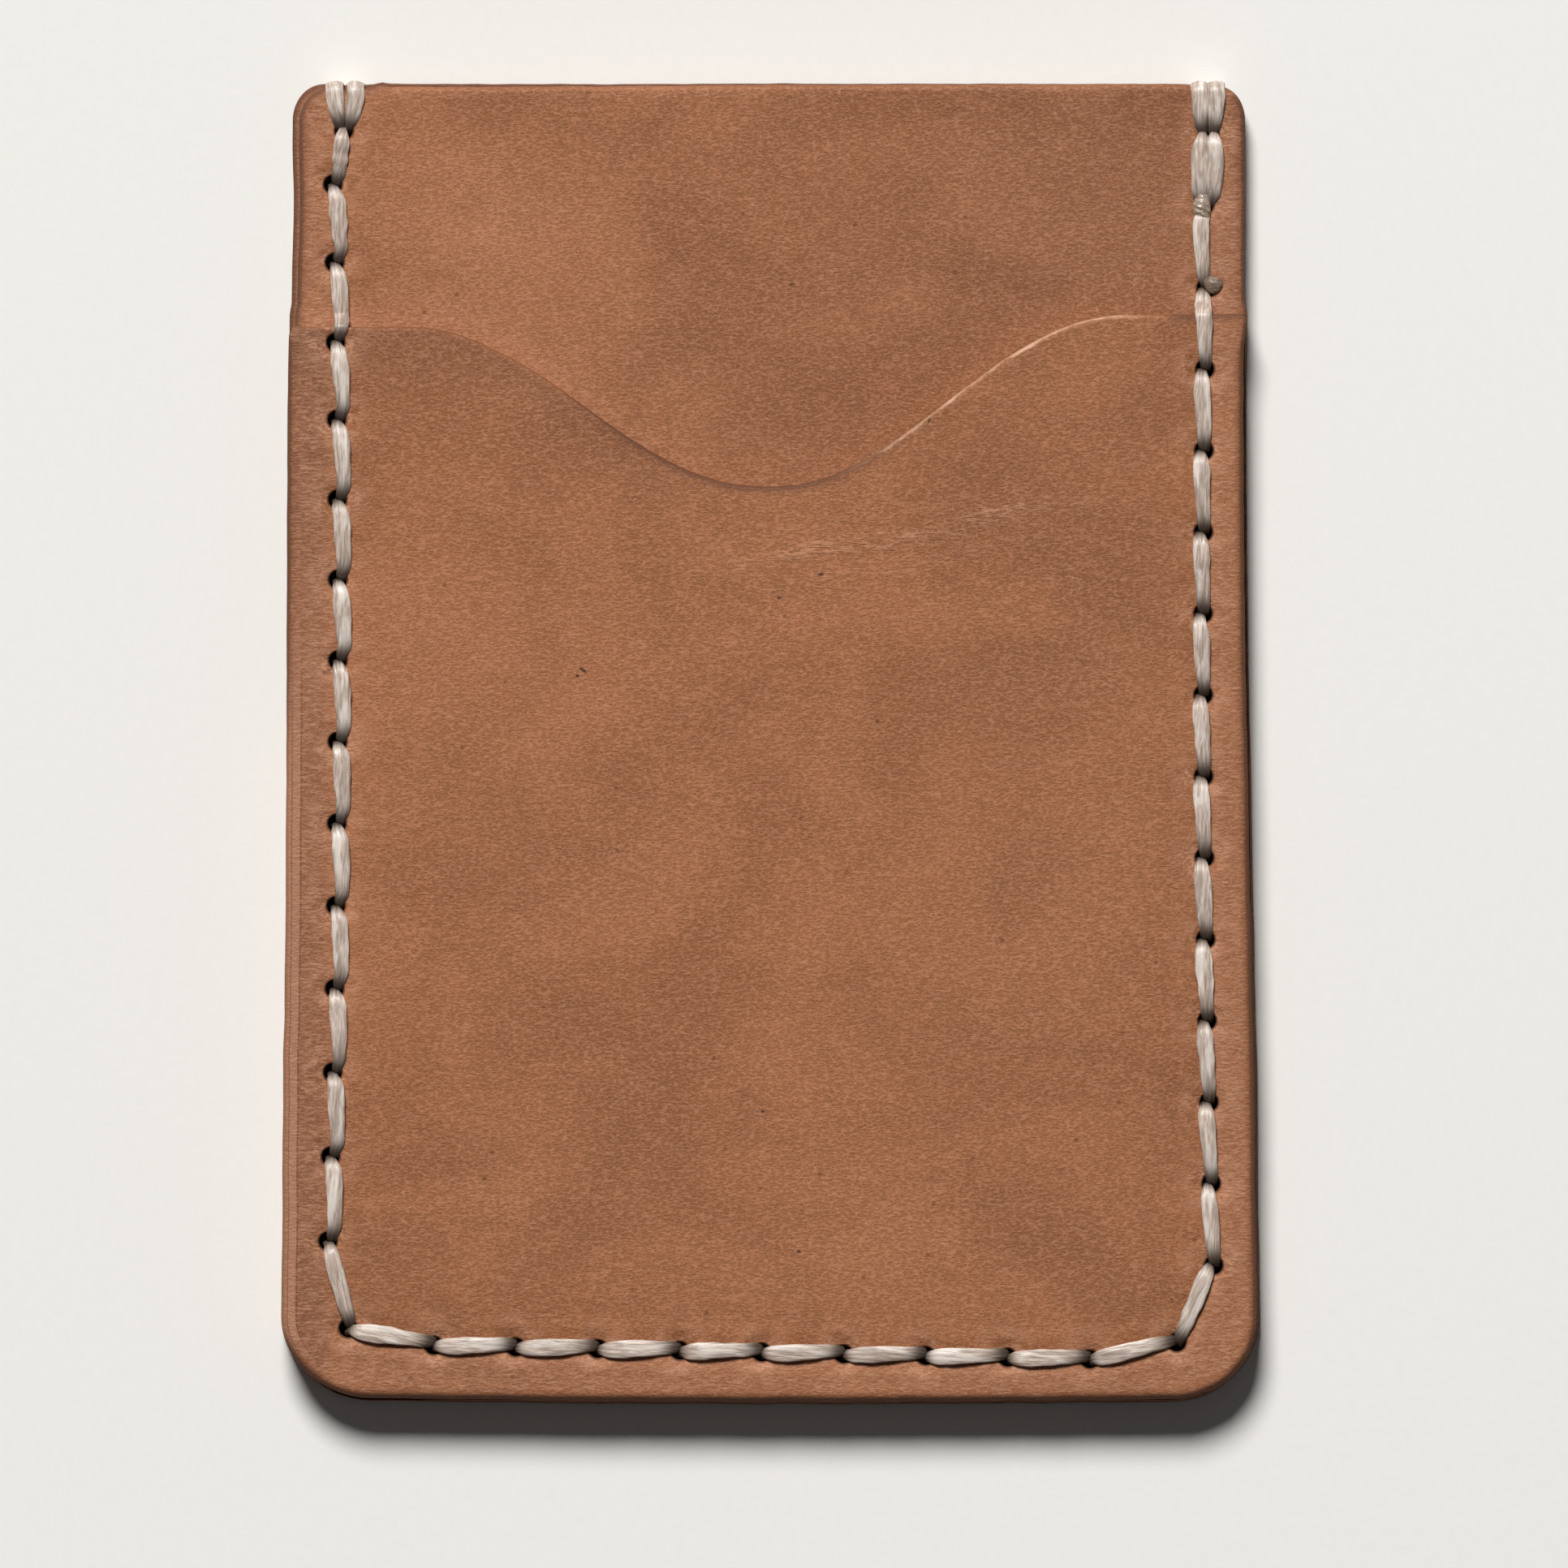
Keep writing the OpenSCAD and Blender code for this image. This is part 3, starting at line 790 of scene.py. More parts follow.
def thread(name, rings, seed):
    """A flat waxed thread of four plies through the rings."""
    centres = np.array([r[0] for r in rings])
    keep = [0]
    for k in range(1, len(centres)):
        if np.linalg.norm(centres[k] - centres[keep[-1]]) > 0.08:
            keep.append(k)
    rings = [rings[k] for k in keep]
    centres = np.array([r[0] for r in rings])
    keys = np.concatenate([[0], np.cumsum(np.linalg.norm(np.diff(centres, axis=0), axis=1))])
    at = np.arange(0, keys[-1], 0.24)
    at = np.append(at, keys[-1])
    centre, side, half_w, half_t, dirt_and_shade = [spline(keys, [r[k] for r in rings], at) for k in range(5)]
    half_w, half_t, dirt_and_shade = half_w[:, 0], half_t[:, 0], np.clip(dirt_and_shade[:, 0], 0, 1)
    ahead = np.gradient(centre, axis=0)
    ahead /= np.linalg.norm(ahead, axis=1)[:, None]
    up = np.cross(ahead, side)
    up /= np.linalg.norm(up, axis=1)[:, None]
    side = np.cross(up, ahead)
    line = np.stack([at, 0 * at], 1)
    half_w = half_w * (1 + 0.04 * waves(line, 5.0, seed))
    phi = (np.arange(STRAND_SIDES) + 0.5) * 2 * math.pi / STRAND_SIDES
    # flat where it lies on the leather, rounder where it is bent over an edge
    flatness = 0.26 * (1 - smooth(0.34, 0.44, half_t / half_w))[:, None]
    cx = np.sign(np.cos(phi)) * np.abs(np.cos(phi)) ** (1 - flatness)
    cy = np.sign(np.sin(phi)) * np.abs(np.sin(phi)) ** (1 - 0.8 * flatness)
    drift = 0.4 * waves(line, 5, seed + 1)
    plies = 0.5 + 0.5 * np.cos(2 * math.pi * (1.5 * cx + 0.05 * at[:, None] + drift[:, None]))
    groove = 1 - 0.17 * plies**2 * (1 - cx**4)
    uneven = 1 + 0.05 * waves(line, 1.6, seed + 2)[:, None] * np.cos(phi * 3)[None, :]
    x = half_w[:, None] * cx * uneven
    y = half_t[:, None] * cy * groove * uneven
    points = centre[:, None, :] + x[..., None] * side[:, None, :] + y[..., None] * up[:, None, :]
    n, m = points.shape[:2]
    faces = []
    for k in range(n - 1):
        for s in range(m):
            e = (s + 1) % m
            faces.append((k * m + s, k * m + e, (k + 1) * m + e, (k + 1) * m + s))
    flat = points.reshape(-1, 3)
    ends = np.array([centre[0] - ahead[0] * 0.1, centre[-1] + ahead[-1] * 0.1])
    faces += [(n * m, (s + 1) % m, s) for s in range(m)]
    faces += [(n * m + 1, (n - 1) * m + s, (n - 1) * m + (s + 1) % m) for s in range(m)]
    points = np.concatenate([flat, ends])
    lay = np.stack([x + 0.1 * at[:, None], y, np.broadcast_to(at[:, None], x.shape)], 2).reshape(-1, 3)
    lay = np.concatenate([lay, [[0, 0, 0], [0, 0, at[-1]]]])
    # how dark each point is painted, as painted shade with a little dirt; the closed ends lie inside holes
    dirt_and_shade = np.concatenate([np.repeat(dirt_and_shade, m), [1, 1]])
    # how deep in a valley between the plies each point lies, for painted shade there
    valley_shade = np.concatenate([plies.ravel(), [1, 1]])
    return make_mesh(name, points, faces, {"dirt_and_shade": dirt_and_shade, "valley_shade": valley_shade}, {"lay": lay})


def lump(name, centre, radii, turn, ridges, depth, seed, base_z):
    """A melted end: a low, uneven blob with folds across it."""
    rows, cols = 26, 44
    points = []
    rim = np.random.default_rng(seed).uniform(0, 2 * math.pi, 3)
    for r in range(1, rows):
        v = math.pi * r / rows
        for c in range(cols):
            u = 2 * math.pi * c / cols
            x, y, z = math.sin(v) * math.cos(u), math.sin(v) * math.sin(u), math.cos(v)
            swell = 1 + 0.07 * math.sin(2 * u + rim[0]) + 0.05 * math.sin(3 * u + rim[1])
            wave = 0.5 + 0.5 * math.cos(ridges * math.pi * (y + 0.35 * x) + rim[2])
            fold = 1 - depth * wave * max(z, 0) ** 0.5
            height = max(z, -0.35) * (1 + 0.1 * math.sin(u)) * fold
            points.append((x * swell * fold, y * swell * fold, height))
    points.append((0, 0, 1 - depth * 0.4))
    points.append((0, 0, -0.35))
    p = np.array(points) * radii
    c, s = math.cos(turn), math.sin(turn)
    p = np.column_stack([p[:, 0] * c - p[:, 1] * s, p[:, 0] * s + p[:, 1] * c, p[:, 2]])
    p += [centre[0], centre[1], base_z]
    faces = []
    for r in range(rows - 2):
        for k in range(cols):
            e = (k + 1) % cols
            faces.append((r * cols + k, (r + 1) * cols + k, (r + 1) * cols + e, r * cols + e))
    top, bottom = len(points) - 2, len(points) - 1
    faces += [(top, k, (k + 1) % cols) for k in range(cols)]
    last_row = (rows - 2) * cols
    faces += [(bottom, last_row + (k + 1) % cols, last_row + k) for k in range(cols)]
    return make_mesh(name, p, faces)


# ---- Materials ----


class Tree:
    """A material's node tree with short calls for the nodes that it uses."""

    def __init__(self, name):
        self.material = bpy.data.materials.new(name)
        self.material.use_nodes = True
        self.tree = self.material.node_tree
        self.tree.nodes.clear()
        self.shader = self.add("ShaderNodeBsdfPrincipled")
        out = self.add("ShaderNodeOutputMaterial")
        self.tree.links.new(self.shader.outputs[0], out.inputs[0])

    def plug(self, socket, value):
        if isinstance(value, bpy.types.NodeSocket):
            self.tree.links.new(value, socket)
        else:
            socket.default_value = value

    def add(self, kind, inputs=None, **settings):
        node = self.tree.nodes.new(kind)
        for key, value in settings.items():
            setattr(node, key, value)
        for key, value in (inputs or {}).items():
            self.plug(node.inputs[key], value)
        return node

    def set(self, **values):
        for key, value in values.items():
            self.plug(self.shader.inputs[key.replace("_", " ")], value)

    def value(self, name):
        return self.add("ShaderNodeAttribute", attribute_name=name).outputs["Fac"]

    def vector(self, name):
        return self.add("ShaderNodeAttribute", attribute_name=name).outputs["Vector"]

    def place(self, scale):
        """Object coordinates, scaled to the size of a feature in millimetres."""
        where = self.add("ShaderNodeTexCoord").outputs["Object"]
        return self.scaled(where, [1 / (s * MM) for s in scale])

    def scaled(self, vector, scale):
        return self.add("ShaderNodeMapping", {"Vector": vector, "Scale": scale}).outputs[0]

    def moved(self, vector, offset):
        return self.add("ShaderNodeVectorMath", {0: vector, 1: offset}, operation="ADD").outputs[0]

    def spot(self, x, y, long, wide, turn):
        """1 inside a small oval of the given place, length, width and turn, in millimetres."""
        where = self.add("ShaderNodeTexCoord").outputs["Object"]
        inputs = {
            "Vector": where, "Location": (x * MM, y * MM, 0), "Rotation": (0, 0, turn),
            "Scale": (long * MM, wide * MM, 1e6),
        }
        placed = self.add("ShaderNodeMapping", inputs, vector_type="TEXTURE").outputs[0]
        size = self.add("ShaderNodeVectorMath", {0: placed}, operation="LENGTH").outputs["Value"]
        return self.remap(size, 1.15, 0.6)

    def line(self, value, at, half):
        """1 where the value is at the given place, fading over half on both sides."""
        away = self.math("ABSOLUTE", self.minus(value, at))
        return self.remap(away, half, half * 0.2)

    def noise(self, vector, detail, roughness=0.5, distortion=0.0):
        inputs = {
            "Vector": vector, "Scale": 1.0, "Detail": detail, "Roughness": roughness,
            "Distortion": distortion,
        }
        return self.add("ShaderNodeTexNoise", inputs, noise_type="FBM").outputs[0]

    def cells(self, vector, feature="F1"):
        inputs = {"Vector": vector, "Scale": 1.0}
        return self.add("ShaderNodeTexVoronoi", inputs, feature=feature).outputs["Distance"]

    def math(self, operation, a, b=0.0):
        return self.add("ShaderNodeMath", {0: a, 1: b}, operation=operation).outputs[0]

    def times(self, a, b):
        return self.math("MULTIPLY", a, b)

    def plus(self, a, b):
        return self.math("ADD", a, b)

    def minus(self, a, b):
        return self.math("SUBTRACT", a, b)

    def remap(self, value, low, high, to_low=0.0, to_high=1.0):
        inputs = {"Value": value, "From Min": low, "From Max": high, "To Min": to_low, "To Max": to_high}
        return self.add("ShaderNodeMapRange", inputs, interpolation_type="SMOOTHSTEP").outputs[0]

    def mix(self, share, a, b, blend="MIX"):
        a, b = [(*c, 1) if isinstance(c, tuple) else c for c in (a, b)]
        inputs = {0: share, 6: a, 7: b}
        return self.add("ShaderNodeMix", inputs, data_type="RGBA", blend_type=blend).outputs[2]

    def shade(self, colour, factor):
        """The colour times a plain factor."""
        grey = self.add("ShaderNodeCombineColor", {0: factor, 1: factor, 2: factor}).outputs[0]
        return self.mix(1.0, colour, grey, "MULTIPLY")

    def bump(self, height, distance, strength=1.0, normal=None):
        inputs = {"Height": height, "Distance": distance * MM, "Strength": strength}
        if normal is not None:
            inputs["Normal"] = normal
        return self.add("ShaderNodeBump", inputs).outputs[0]


# Each a place, a length, a width and a turn
NICKS = [
    (-13.55, 5.2, 0.36, 0.14, -0.65), (-13.95, 4.8, 0.15, 0.13, 0.0), (3.6, 12.1, 0.28, 0.13, 0.3),
    (0.6, 10.4, 0.18, 0.12, 0.0), (-0.6, -26.6, 0.16, 0.14, 0.0), (2.0, -36.7, 0.15, 0.13, 0.0),
    (-32.0, 5.1, 0.4, 0.2, 0.2), (11.4, 23.2, 0.3, 0.09, 1.2),
]


def leather(name, dark, light, margin_tone, nicked=0.0):
    """Vegetable-tanned leather: mottled, fine-grained, burnished round its edges."""
    t = Tree(name)
    seam, edge, hole, wall = t.value("seam"), t.value("edge"), t.value("hole"), t.value("wall")
    shade, crease, low_left = t.value("tone"), t.value("crease"), t.value("low_left")
    lip, soft = t.value("lip"), t.value("soft")
    # fine wrinkled grain, longer across the holder than along it
    warp = t.noise(t.place((1.3, 1.3, 1.3)), 2)
    sway = t.add("ShaderNodeCombineXYZ", {0: warp, 1: warp, 2: 0.0}).outputs[0]
    fine = t.noise(t.moved(t.place((0.17, 0.1, 0.14)), sway), 2, 0.6, 0.3)
    pebble = t.cells(t.moved(t.place((0.3, 0.19, 0.25)), sway), "SMOOTH_F1")
    ridge = t.noise(t.moved(t.place((0.5, 0.12, 0.25)), sway), 2, 0.5, 0.6)
    pebbled = t.times(t.minus(0.8, pebble), 0.3)
    grain = t.plus(t.times(fine, 0.5), pebbled)
    grain = t.plus(grain, t.times(ridge, 0.3))
    grain = t.remap(grain, 0.78, 0.28)
    # tone: broad clouds, smaller mottling and grain
    cloud = t.noise(t.place((16, 12, 14)), 2, 0.55, 0.6)
    mottle = t.noise(t.place((1.7, 1.0, 1.4)), 3, 0.6)
    mixed = t.plus(t.times(cloud, 0.76), t.times(mottle, 0.24))
    colour = t.mix(t.remap(mixed, 0.34, 0.66), dark, light)
    # each point's tone darkens or pales it: the leather's own tone, and on the pocket and middle panel
    # painted light and shade too
    colour = t.shade(colour, t.plus(t.times(shade, 0.26), 1.0))
    colour = t.mix(t.times(t.remap(shade, 0.05, 0.9), 0.28), colour, (0.5, 0.235, 0.14))
    colour = t.shade(colour, t.remap(grain, 0.1, 1, 0.84, 1.26))
    colour = t.mix(t.remap(grain, 0.5, 1.0, 0, 0.3), colour, (0.52, 0.27, 0.175))
    # scattered pale flecks and dark pores
    flecks = t.remap(t.cells(t.place((0.9, 0.6, 0.8))), 0.15, 0.03)
    flecks = t.times(flecks, t.remap(t.noise(t.place((6, 6, 6)), 2), 0.42, 0.66))
    colour = t.mix(t.times(flecks, 0.55), colour, (0.6, 0.31, 0.17))
    pores = t.remap(t.cells(t.place((3.1, 3.4, 3.2))), 0.075, 0.02)
    colour = t.mix(t.times(pores, 0.5), colour, (0.12, 0.04, 0.018))
    # a few dark nicks and pressed spots
    for x, y, long, wide, turn in NICKS:
        nick = t.times(t.spot(x, y, long, wide, turn), nicked)
        colour = t.mix(nick, colour, (0.09, 0.03, 0.015))
    # stretch wrinkles rub pale
    folds = t.noise(t.place((3.6, 0.5, 1.0)), 3, 0.6, 0.4)
    folds = t.remap(t.math("ABSOLUTE", t.minus(folds, 0.5)), 0.05, 0.008)
    folds = t.times(folds, t.remap(crease, 0.05, 0.85))
    folds = t.times(folds, t.remap(fine, 0.3, 0.55, 0.35, 1.0))
    colour = t.mix(t.times(folds, 0.55), colour, (0.58, 0.29, 0.17))
    # the margin outside the seam is a little paler and pinker, with coarser wrinkles across it
    outside = t.times(t.remap(seam, 0.4, -0.9), margin_tone)
    colour = t.mix(outside, colour, (0.42, 0.175, 0.092))
    across = t.noise(t.moved(t.place((0.8, 0.17, 0.4)), sway), 2, 0.5, 0.5)
    rough = t.times(t.remap(seam, 0.2, -0.8), t.remap(across, 0.46, 0.68))
    colour = t.mix(t.times(rough, 0.4), colour, (0.6, 0.32, 0.2))
    # leather strained round the holes looks paler, and painted shade darkens their lips and insides
    strained = t.times(t.remap(hole, 3.0, 0.9), t.remap(pebble, 0.58, 0.28))
    strained = t.times(strained, t.remap(mottle, 0.4, 0.58))
    colour = t.mix(t.times(strained, 0.75), colour, (0.56, 0.285, 0.175))
    # painted shade on the lips and inside the holes
    colour = t.mix(t.times(t.remap(hole, 0.84, 0.66), 0.85), colour, (0.05, 0.018, 0.008))
    # the worn facet down the lower left: a pale band along the edge, partly painted light where the bevel
    # faces the lamp, with two pressed lines
    band = t.times(t.remap(edge, 1.05, 0.95), low_left)
    # paler band: unburnished edge and painted light on the bevel
    colour = t.mix(t.times(band, 0.5), colour, (0.52, 0.26, 0.16))
    inner_line = t.times(t.line(edge, 1.08, 0.08), t.remap(fine, 0.4, 0.55))
    lines = t.plus(t.line(edge, 0.42, 0.07), inner_line)
    lines = t.times(lines, low_left)
    colour = t.mix(t.times(lines, 0.6), colour, (0.17, 0.07, 0.035))
    # darker where the edge was burnished, and a thin dark rim at the edge that is burnish and painted
    # shadow along the joints between the layers
    unburnished = t.math("MAXIMUM", t.math("MAXIMUM", low_left, soft), lip)
    burnished = t.minus(1.0, unburnished)
    burnish = t.times(t.remap(edge, 0.9, 0.25), burnished)
    colour = t.mix(t.times(burnish, 0.4), colour, (0.16, 0.055, 0.024))
    # a thin dark rim: burnish, and painted shadow along the joints between layers
    rim = t.times(t.remap(edge, 0.42, 0.12), burnished)
    colour = t.mix(t.times(rim, 0.6), colour, (0.085, 0.03, 0.014))
    streak = t.noise(t.place((1.2, 1.2, 0.12)), 3, 0.6)
    wall_colour = t.mix(streak, (0.095, 0.034, 0.016), (0.22, 0.09, 0.043))
    wall_burnish = t.plus(0.3, t.times(burnished, 0.7))
    wall_share = t.times(t.remap(wall, 0.3, 0.9), wall_burnish)
    colour = t.mix(wall_share, colour, wall_colour)
    worn = t.noise(t.place((2.4, 1.6, 1.0)), 3, 0.6)
    ragged = t.plus(edge, t.times(t.minus(worn, 0.5), 0.7))
    # the raw cut edge painted pale, partly as painted light where the mouth's right flank faces the lamp
    raw = t.times(lip, t.remap(ragged, 0.27, 0.1))
    raw = t.times(raw, t.remap(worn, 0.62, 0.4, 0.45, 0.8))
    colour = t.mix(raw, colour, (0.72, 0.46, 0.315))
    # finish
    satin = t.math("MAXIMUM", t.remap(grain, 0, 1, 0.66, 0.5), t.times(wall, 0.95))
    normal = t.bump(grain, 0.035)
    normal = t.bump(mottle, 0.02, 0.8, normal)
    normal = t.bump(folds, 0.05, 0.7, normal)
    normal = t.bump(t.plus(pores, t.times(lines, 0.5)), -0.05, 0.7, normal)
    t.set(Base_Color=colour, Roughness=satin, Normal=normal)
    t.set(Specular_IOR_Level=0.27)
    return t.material


def thread_material(name):
    """Waxed flat thread: pale fibres along it, darkened where it goes into the holes by a little dirt and
    by painted shade, and painted shade in the valleys between its plies.
    """
    t = Tree(name)
    lay = t.vector("lay")
    fibre = t.noise(t.scaled(lay, (6.5, 6.5, 0.6)), 4, 0.65, 0.3)
    twist = t.noise(t.scaled(lay, (2.4, 2.4, 0.35)), 2, 0.5)
    wax = t.noise(t.scaled(lay, (1.5, 1.5, 0.3)), 3, 0.6, 0.4)
    valley_shade, dirt_and_shade = t.value("valley_shade"), t.value("dirt_and_shade")
    colour = t.mix(t.remap(fibre, 0.32, 0.68), (0.35, 0.265, 0.215), (0.78, 0.65, 0.565))
    colour = t.mix(t.times(t.remap(twist, 0.42, 0.68), 0.45), colour, (0.32, 0.24, 0.195))
    # painted shade in the valleys between the plies
    colour = t.mix(t.times(t.remap(valley_shade, 0.35, 1.0), 0.28), colour, (0.22, 0.16, 0.125))
    colour = t.mix(t.times(t.remap(wax, 0.48, 0.66), 0.55), colour, (0.93, 0.86, 0.8))
    # painted shade, with a little dirt, where the thread sinks into the holes
    colour = t.mix(t.times(t.remap(dirt_and_shade, 0.0, 1.0), 0.95), colour, (0.055, 0.036, 0.025))
    normal = t.bump(fibre, 0.05)
    normal = t.bump(twist, 0.05, 0.8, normal)
    t.set(Base_Color=colour, Roughness=t.remap(fibre, 0.3, 0.7, 0.48, 0.3), Normal=normal)
    t.set(Specular_IOR_Level=0.55)
    return t.material


def melted_material(name, dark, light, coat, dull):
    """Thread melted to a hard end, glassy where it has a coat."""
    t = Tree(name)
    skin = t.noise(t.place((0.35, 0.2, 0.3)), 4, 0.6, 0.5)
    colour = t.mix(t.remap(skin, 0.35, 0.65), dark, light)
    gloss = t.remap(skin, 0.3, 0.7, dull, dull + 0.18)
    t.set(Base_Color=colour, Roughness=gloss, Normal=t.bump(skin, 0.03))
    t.set(Coat_Weight=coat, Coat_Roughness=0.08)
    return t.material


def cement_material(name):
    t = Tree(name)
    blot = t.noise(t.place((0.8, 0.8, 0.8)), 3, 0.6)
    colour = t.mix(t.remap(blot, 0.35, 0.7), (0.03, 0.012, 0.006), (0.075, 0.032, 0.016))
    t.set(Base_Color=colour, Roughness=t.remap(blot, 0.3, 0.7, 0.6, 0.9), Normal=t.bump(blot, 0.04))
    t.set(Specular_IOR_Level=0.15)
    return t.material


def floor_material(name):
    t = Tree(name)
    paper = t.noise(t.place((0.9, 0.9, 0.9)), 4, 0.6)
    colour = t.mix(t.remap(paper, 0.3, 0.7), (0.872, 0.866, 0.842), (0.885, 0.879, 0.855))
    t.set(Base_Color=colour, Roughness=0.9)
    t.set(Specular_IOR_Level=0.1)
    return t.material


# ---- Camera, floor and light ----

VIEW_CENTRE = Vector((0.94, -3.01, FRONT_TOP)) * MM
VIEW_WIDTH = 113 * MM
DISTANCE = 2.2
SENSOR_WIDTH = 36

camera = bpy.data.objects.new("camera", bpy.data.cameras.new("camera"))
camera.location = VIEW_CENTRE + Vector((0, 0, DISTANCE))
camera.data.sensor_width = SENSOR_WIDTH
camera.data.lens = SENSOR_WIDTH * DISTANCE / VIEW_WIDTH
camera.data.clip_start = 0.01
bpy.context.scene.collection.objects.link(camera)
bpy.context.scene.camera = camera

FLOOR_REACH = 2.5
floor_z = cad_box[0].z
signs = ((-1, -1), (1, -1), (1, 1), (-1, 1))
floor_corners = [(FLOOR_REACH * x, FLOOR_REACH * y, floor_z) for x, y in signs]
floor_mesh = bpy.data.meshes.new("floor")
floor_mesh.from_pydata(floor_corners, [], [(0, 1, 2, 3)])
floor = bpy.data.objects.new("floor", floor_mesh)
bpy.context.scene.collection.objects.link(floor)
floor.data.materials.append(floor_material("floor"))


def area_light(name, direction, distance, size, power, colour):
    """A round lamp that faces the holder from the given direction."""
    lamp = bpy.data.lights.new(name, "AREA")
    lamp.shape = "DISK"
    lamp.size = size
    lamp.energy = power
    lamp.color = colour
    holder = bpy.data.objects.new(name, lamp)
    towards = Vector(direction).normalized()
    holder.location = towards * distance
    holder.rotation_mode = "QUATERNION"
    holder.rotation_quaternion = towards.to_track_quat("Z", "Y")
    bpy.context.scene.collection.objects.link(holder)


area_light("key", (-0.15, 0.67, 0.75), distance=3.6, size=1.3, power=163, colour=(1.0, 0.985, 0.96))
area_light("fill", (0.3, -0.2, 1.2), distance=1.8, size=1.4, power=0.5, colour=(0.96, 0.98, 1.0))

world = bpy.data.worlds.new("studio")
world.use_nodes = True
background = world.node_tree.nodes["Background"]
background.inputs["Color"].default_value = (0.98, 0.99, 1.0, 1)
background.inputs["Strength"].default_value = 0.04
bpy.context.scene.world = world
bpy.context.scene.view_settings.view_transform = "Standard"

# ---- Pieces ----

pocket_leather = leather("leather_pocket", (0.285, 0.106, 0.042), (0.36, 0.139, 0.059), 0.2, 0.95)
middle_leather = leather("leather_middle", (0.27, 0.1, 0.04), (0.35, 0.137, 0.06), 0.1)
back_leather = leather("leather_back", (0.27, 0.1, 0.041), (0.35, 0.136, 0.06), 0.3)


def pocket_tone_and_shade(p):
    """Darker under its mouth as painted shade, darker down its left margin, paler to the left and darker to
    the right as painted light falling from the upper left, a little paler over its middle and darker
    towards the bottom.
    """
    x, y = p[:, 0], p[:, 1]
    below = np.maximum(mouth_y(x) - y, 0)
    # painted shade under the mouth
    tone = -0.75 * smooth(2, -14, x) * bell(below, 3.6) - 0.3 * smooth(8, 24, x) * bell(below, 6)
    # painted light: paler to the left and darker to the right
    tone += 0.2 * smooth(-4, -24, x) * bell(y + 4, 20) - 0.3 * smooth(6, 22, x) * bell(y + 4, 26)
    tone -= 1.1 * smooth(-31.4, -32.6, x)
    return tone + 0.12 * bell(np.hypot(x + 2, y + 4), 22) - 0.1 * smooth(-5, -40, y)


def pocket_lip(p):
    """The raw cut edge along the right flank of the mouth, painted pale, partly as painted light where the
    flank faces the lamp.
    """
    x, y = p[:, 0], p[:, 1]
    return bell(mouth_y(x) - y, 1.2) * smooth(4, 13, x) * (1 - smooth(23, 28, x))


def pocket_soft(p):
    """Where the mouth's edge isn't burnished: over its left part and near its right shoulder."""
    x, y = p[:, 0], p[:, 1]
    right = smooth(20, 26, x) * (1 - smooth(28, 30, x))
    return bell(mouth_y(x) - y, 1.2) * np.maximum(smooth(-9, -17, x), right)


def middle_soft(p):
    return smooth(46, 47, p[:, 1]) * smooth(-30, -27, p[:, 0])


def middle_tone_and_light(p):
    """Paler over the upper left and along the pocket's left flank, darker to the right; the paler upper
    left and darker right are painted light falling from the upper left.
    """
    x, y = p[:, 0], p[:, 1]
    above = np.maximum(y - mouth_y(x), 0)
    patch = bell(np.hypot((x + 21) / 9, (y - 37) / 7), 1)
    # the paler patch and the darker right are painted light
    return 0.4 * patch + 0.5 * smooth(0, -14, x) * bell(above, 2.4) - 0.6 * smooth(4, 24, x)


def near_seam(p):
    return np.abs(to_seam(p)) < 1.9


def pocket_fine(p):
    """Where the pocket's mesh is fine: along the seam, the wrinkles and the mouth."""
    x, y = p[:, 0], p[:, 1]
    above = y - 12.2 - 5.6 * smooth(0, 1, (x + 8) / 38)
    wrinkled = (x > -9) & (x < 31) & (np.abs(above) < 3.4)
    return near_seam(p) | wrinkled | (np.abs(y - mouth_y(x)) < 1.0)


def middle_fine(p):
    return near_seam(p) & (p[:, 1] > mouth_y(p[:, 0]) - 0.8)


loop = pocket_outline(33)
on_mouth = np.abs(loop[:, 1] - mouth_y(loop[:, 0])) < 0.3
at_shoulder = (np.abs(np.abs(loop[:, 0]) - side_x(30)) < 1.6) & (loop[:, 1] > 28.5)
left_side = smooth(-20, -30, loop[:, 0])
high_up = smooth(-30, 5, loop[:, 1])
round_w = 0.6 - 0.25 * left_side * high_up
round_w = np.where(on_mouth, 0.22 + 0.1 * pocket_lip(loop), round_w)
round_w = np.where(at_shoulder, 0.3, round_w)
round_w = np.where(np.linalg.norm(loop - HOLES[LIP_HOLE], axis=1) < 2.4, 0.15, round_w)
for _ in range(6):
    round_w = (np.roll(round_w, 1) + 2 * round_w + np.roll(round_w, -1)) / 4
thin = np.full(len(loop), 0.07)
pocket = panel(
    "leather_pocket", loop, FRONT_FACE, FRONT_TOP, round_w, 0.75 * round_w + 0.16, thin, thin,
    pocket_top, pocket_under, ((0.5, 0.27, pocket_fine), (1.6, 1.6, None)),
    pocket_tone_and_shade, pocket_lip, pocket_soft,
)

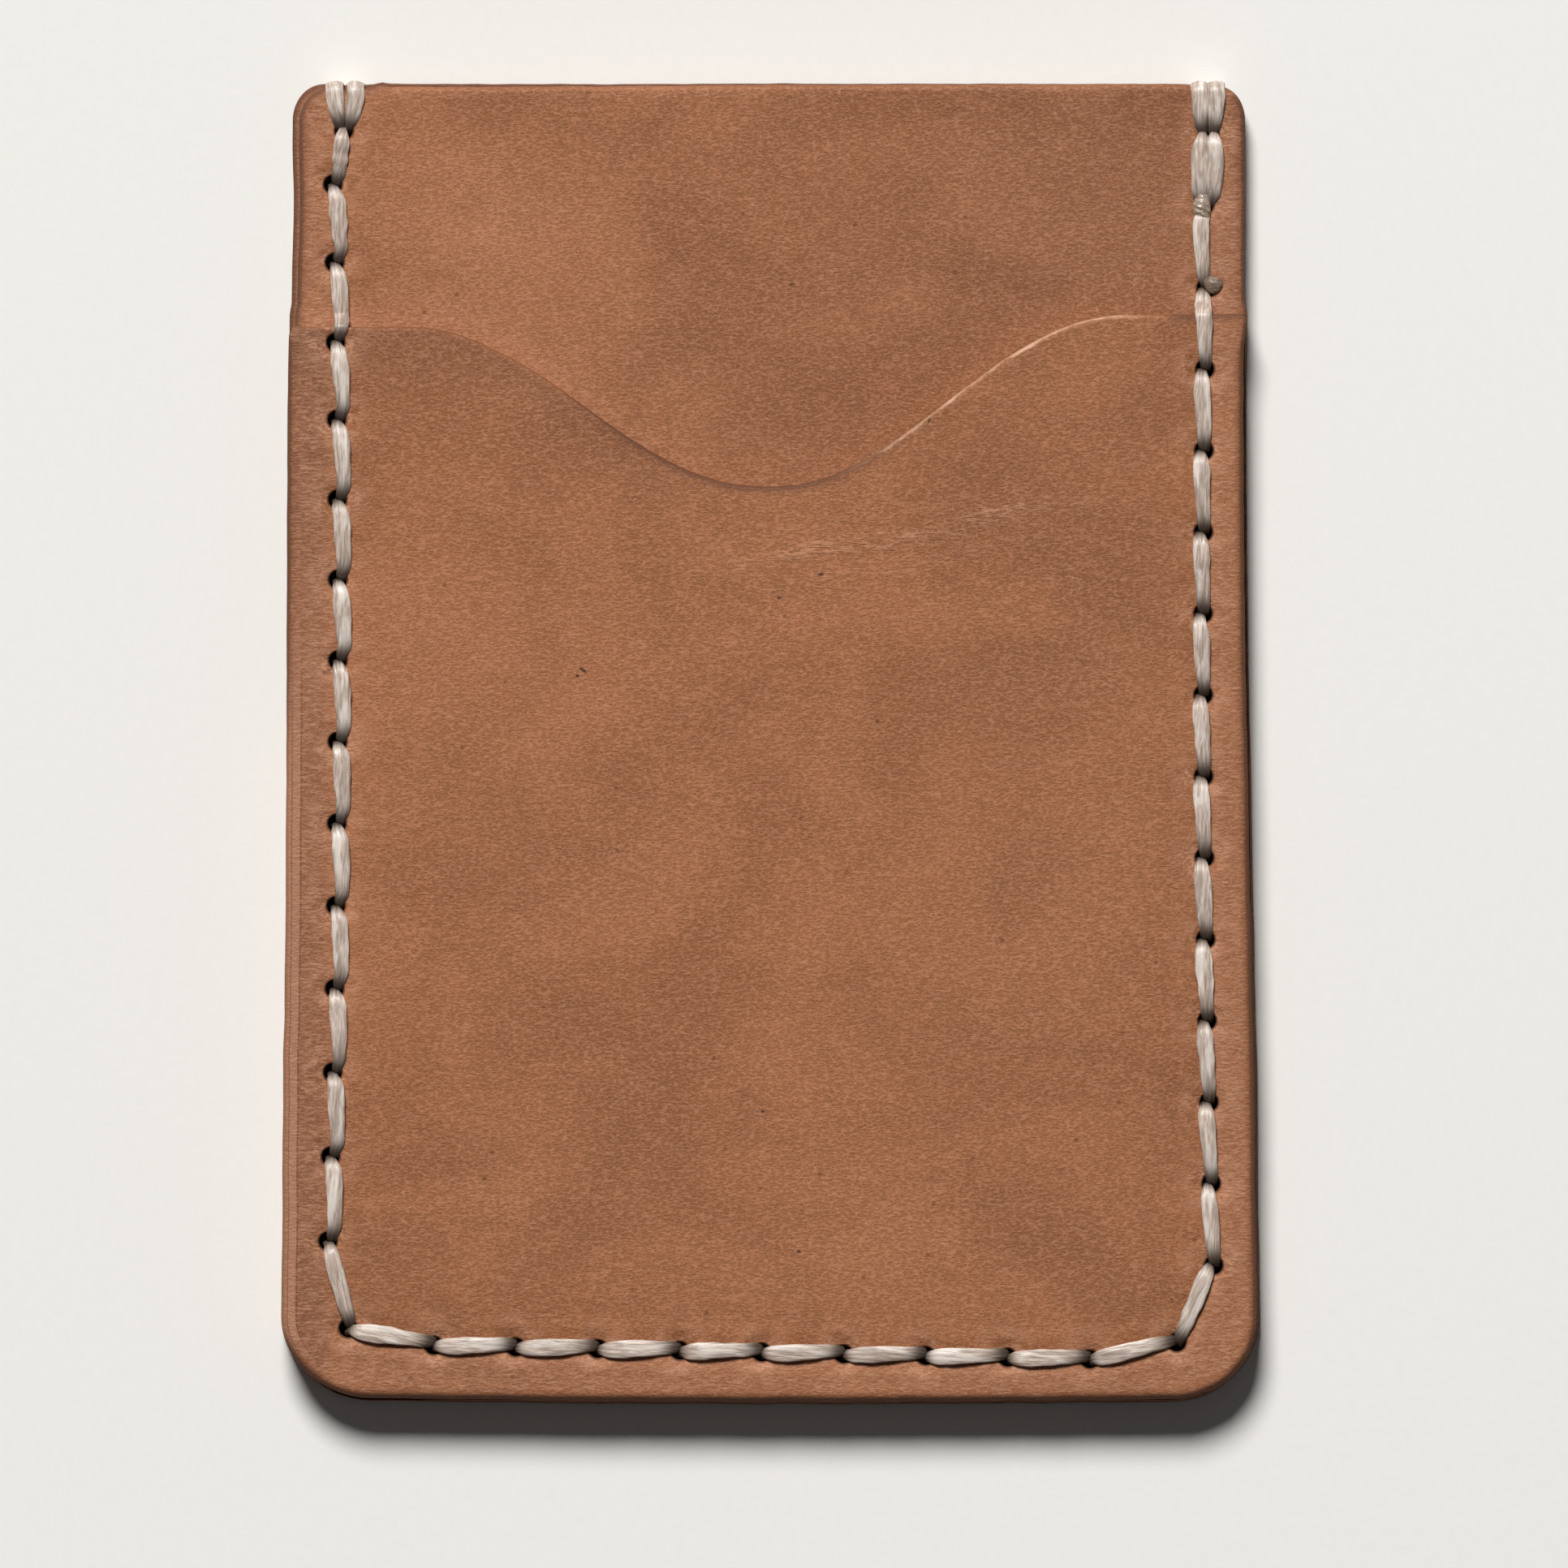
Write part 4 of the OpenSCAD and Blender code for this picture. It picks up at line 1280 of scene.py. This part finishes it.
loop = full_outline(STEP_BACK, 34, 0.13)
exposed = smooth(-0.5, 1.5, loop[:, 1] - mouth_y(loop[:, 0]))
layered = smooth(-42, -46, loop[:, 1]) + smooth(28, 33, loop[:, 0]) * (1 - exposed)
thin = np.full(len(loop), 0.07)
middle = panel(
    "leather_middle", loop, MIDDLE_FACE, MIDDLE_TOP,
    0.07 + 0.3 * exposed + 0.1 * layered, 0.07 + 0.8 * exposed + 0.12 * layered, thin, thin,
    middle_relief, plain, ((0.55, 0.27, middle_fine), (1.8, 1.8, None)), middle_tone_and_light, plain, middle_soft,
)

loop = full_outline(0, 35)
whole = np.ones(len(loop))
back = panel(
    "leather_back", loop, BACK_FACE, BACK_TOP, 0.14 * whole, 0.14 * whole, 0.7 * whole, 0.65 * whole,
    plain, back_relief, ((1.8, 1.8, None), (0.62, 0.27, near_seam)),
)

thread_look = thread_material("waxed_thread")
strand_a = thread("thread_a", route_a(), 71)
strand_b = thread("thread_b", route_b(), 81)

clear_melt = melted_material(
    "melted_thread_pale", (0.24, 0.175, 0.13), (0.5, 0.4, 0.32), coat=1.0, dull=0.2
)
brown_melt = melted_material(
    "melted_thread_brown", (0.13, 0.085, 0.062), (0.28, 0.2, 0.155), coat=0.15, dull=0.42
)
upper_end = lump(
    "melted_upper", HOLES[LAST - 1] + [-0.3, -0.1], (0.7, 1.06, 0.42),
    turn=0.1, ridges=4.6, depth=0.2, seed=5, base_z=MIDDLE_TOP + 0.06,
)
lower_end = lump(
    "melted_lower", HOLES[LAST - 2] + [0.62, 0.25], (0.68, 0.66, 0.38),
    turn=0.5, ridges=1.4, depth=0.08, seed=6, base_z=MIDDLE_TOP + 0.07,
)

for piece, node, slot_name, look in (
    (pocket, "front_pocket", "leather", pocket_leather),
    (middle, "middle_panel", "leather", middle_leather),
    (back, "back_panel", "leather", back_leather),
    (strand_a, "stitch_thread_a", "thread", thread_look),
    (strand_b, "stitch_thread_b", "thread", thread_look),
    (upper_end, "thread_end_upper", "melted_thread", clear_melt),
    (lower_end, "thread_end_lower", "melted_thread", brown_melt),
):
    piece.data.materials.append(look)
    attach(piece, BODY)
    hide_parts(node)

cement_look = cement_material("contact_cement")
for node in ("rear_cement", "front_cement"):
    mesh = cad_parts[node].data
    mesh.materials.clear()
    mesh.materials.append(cement_look)
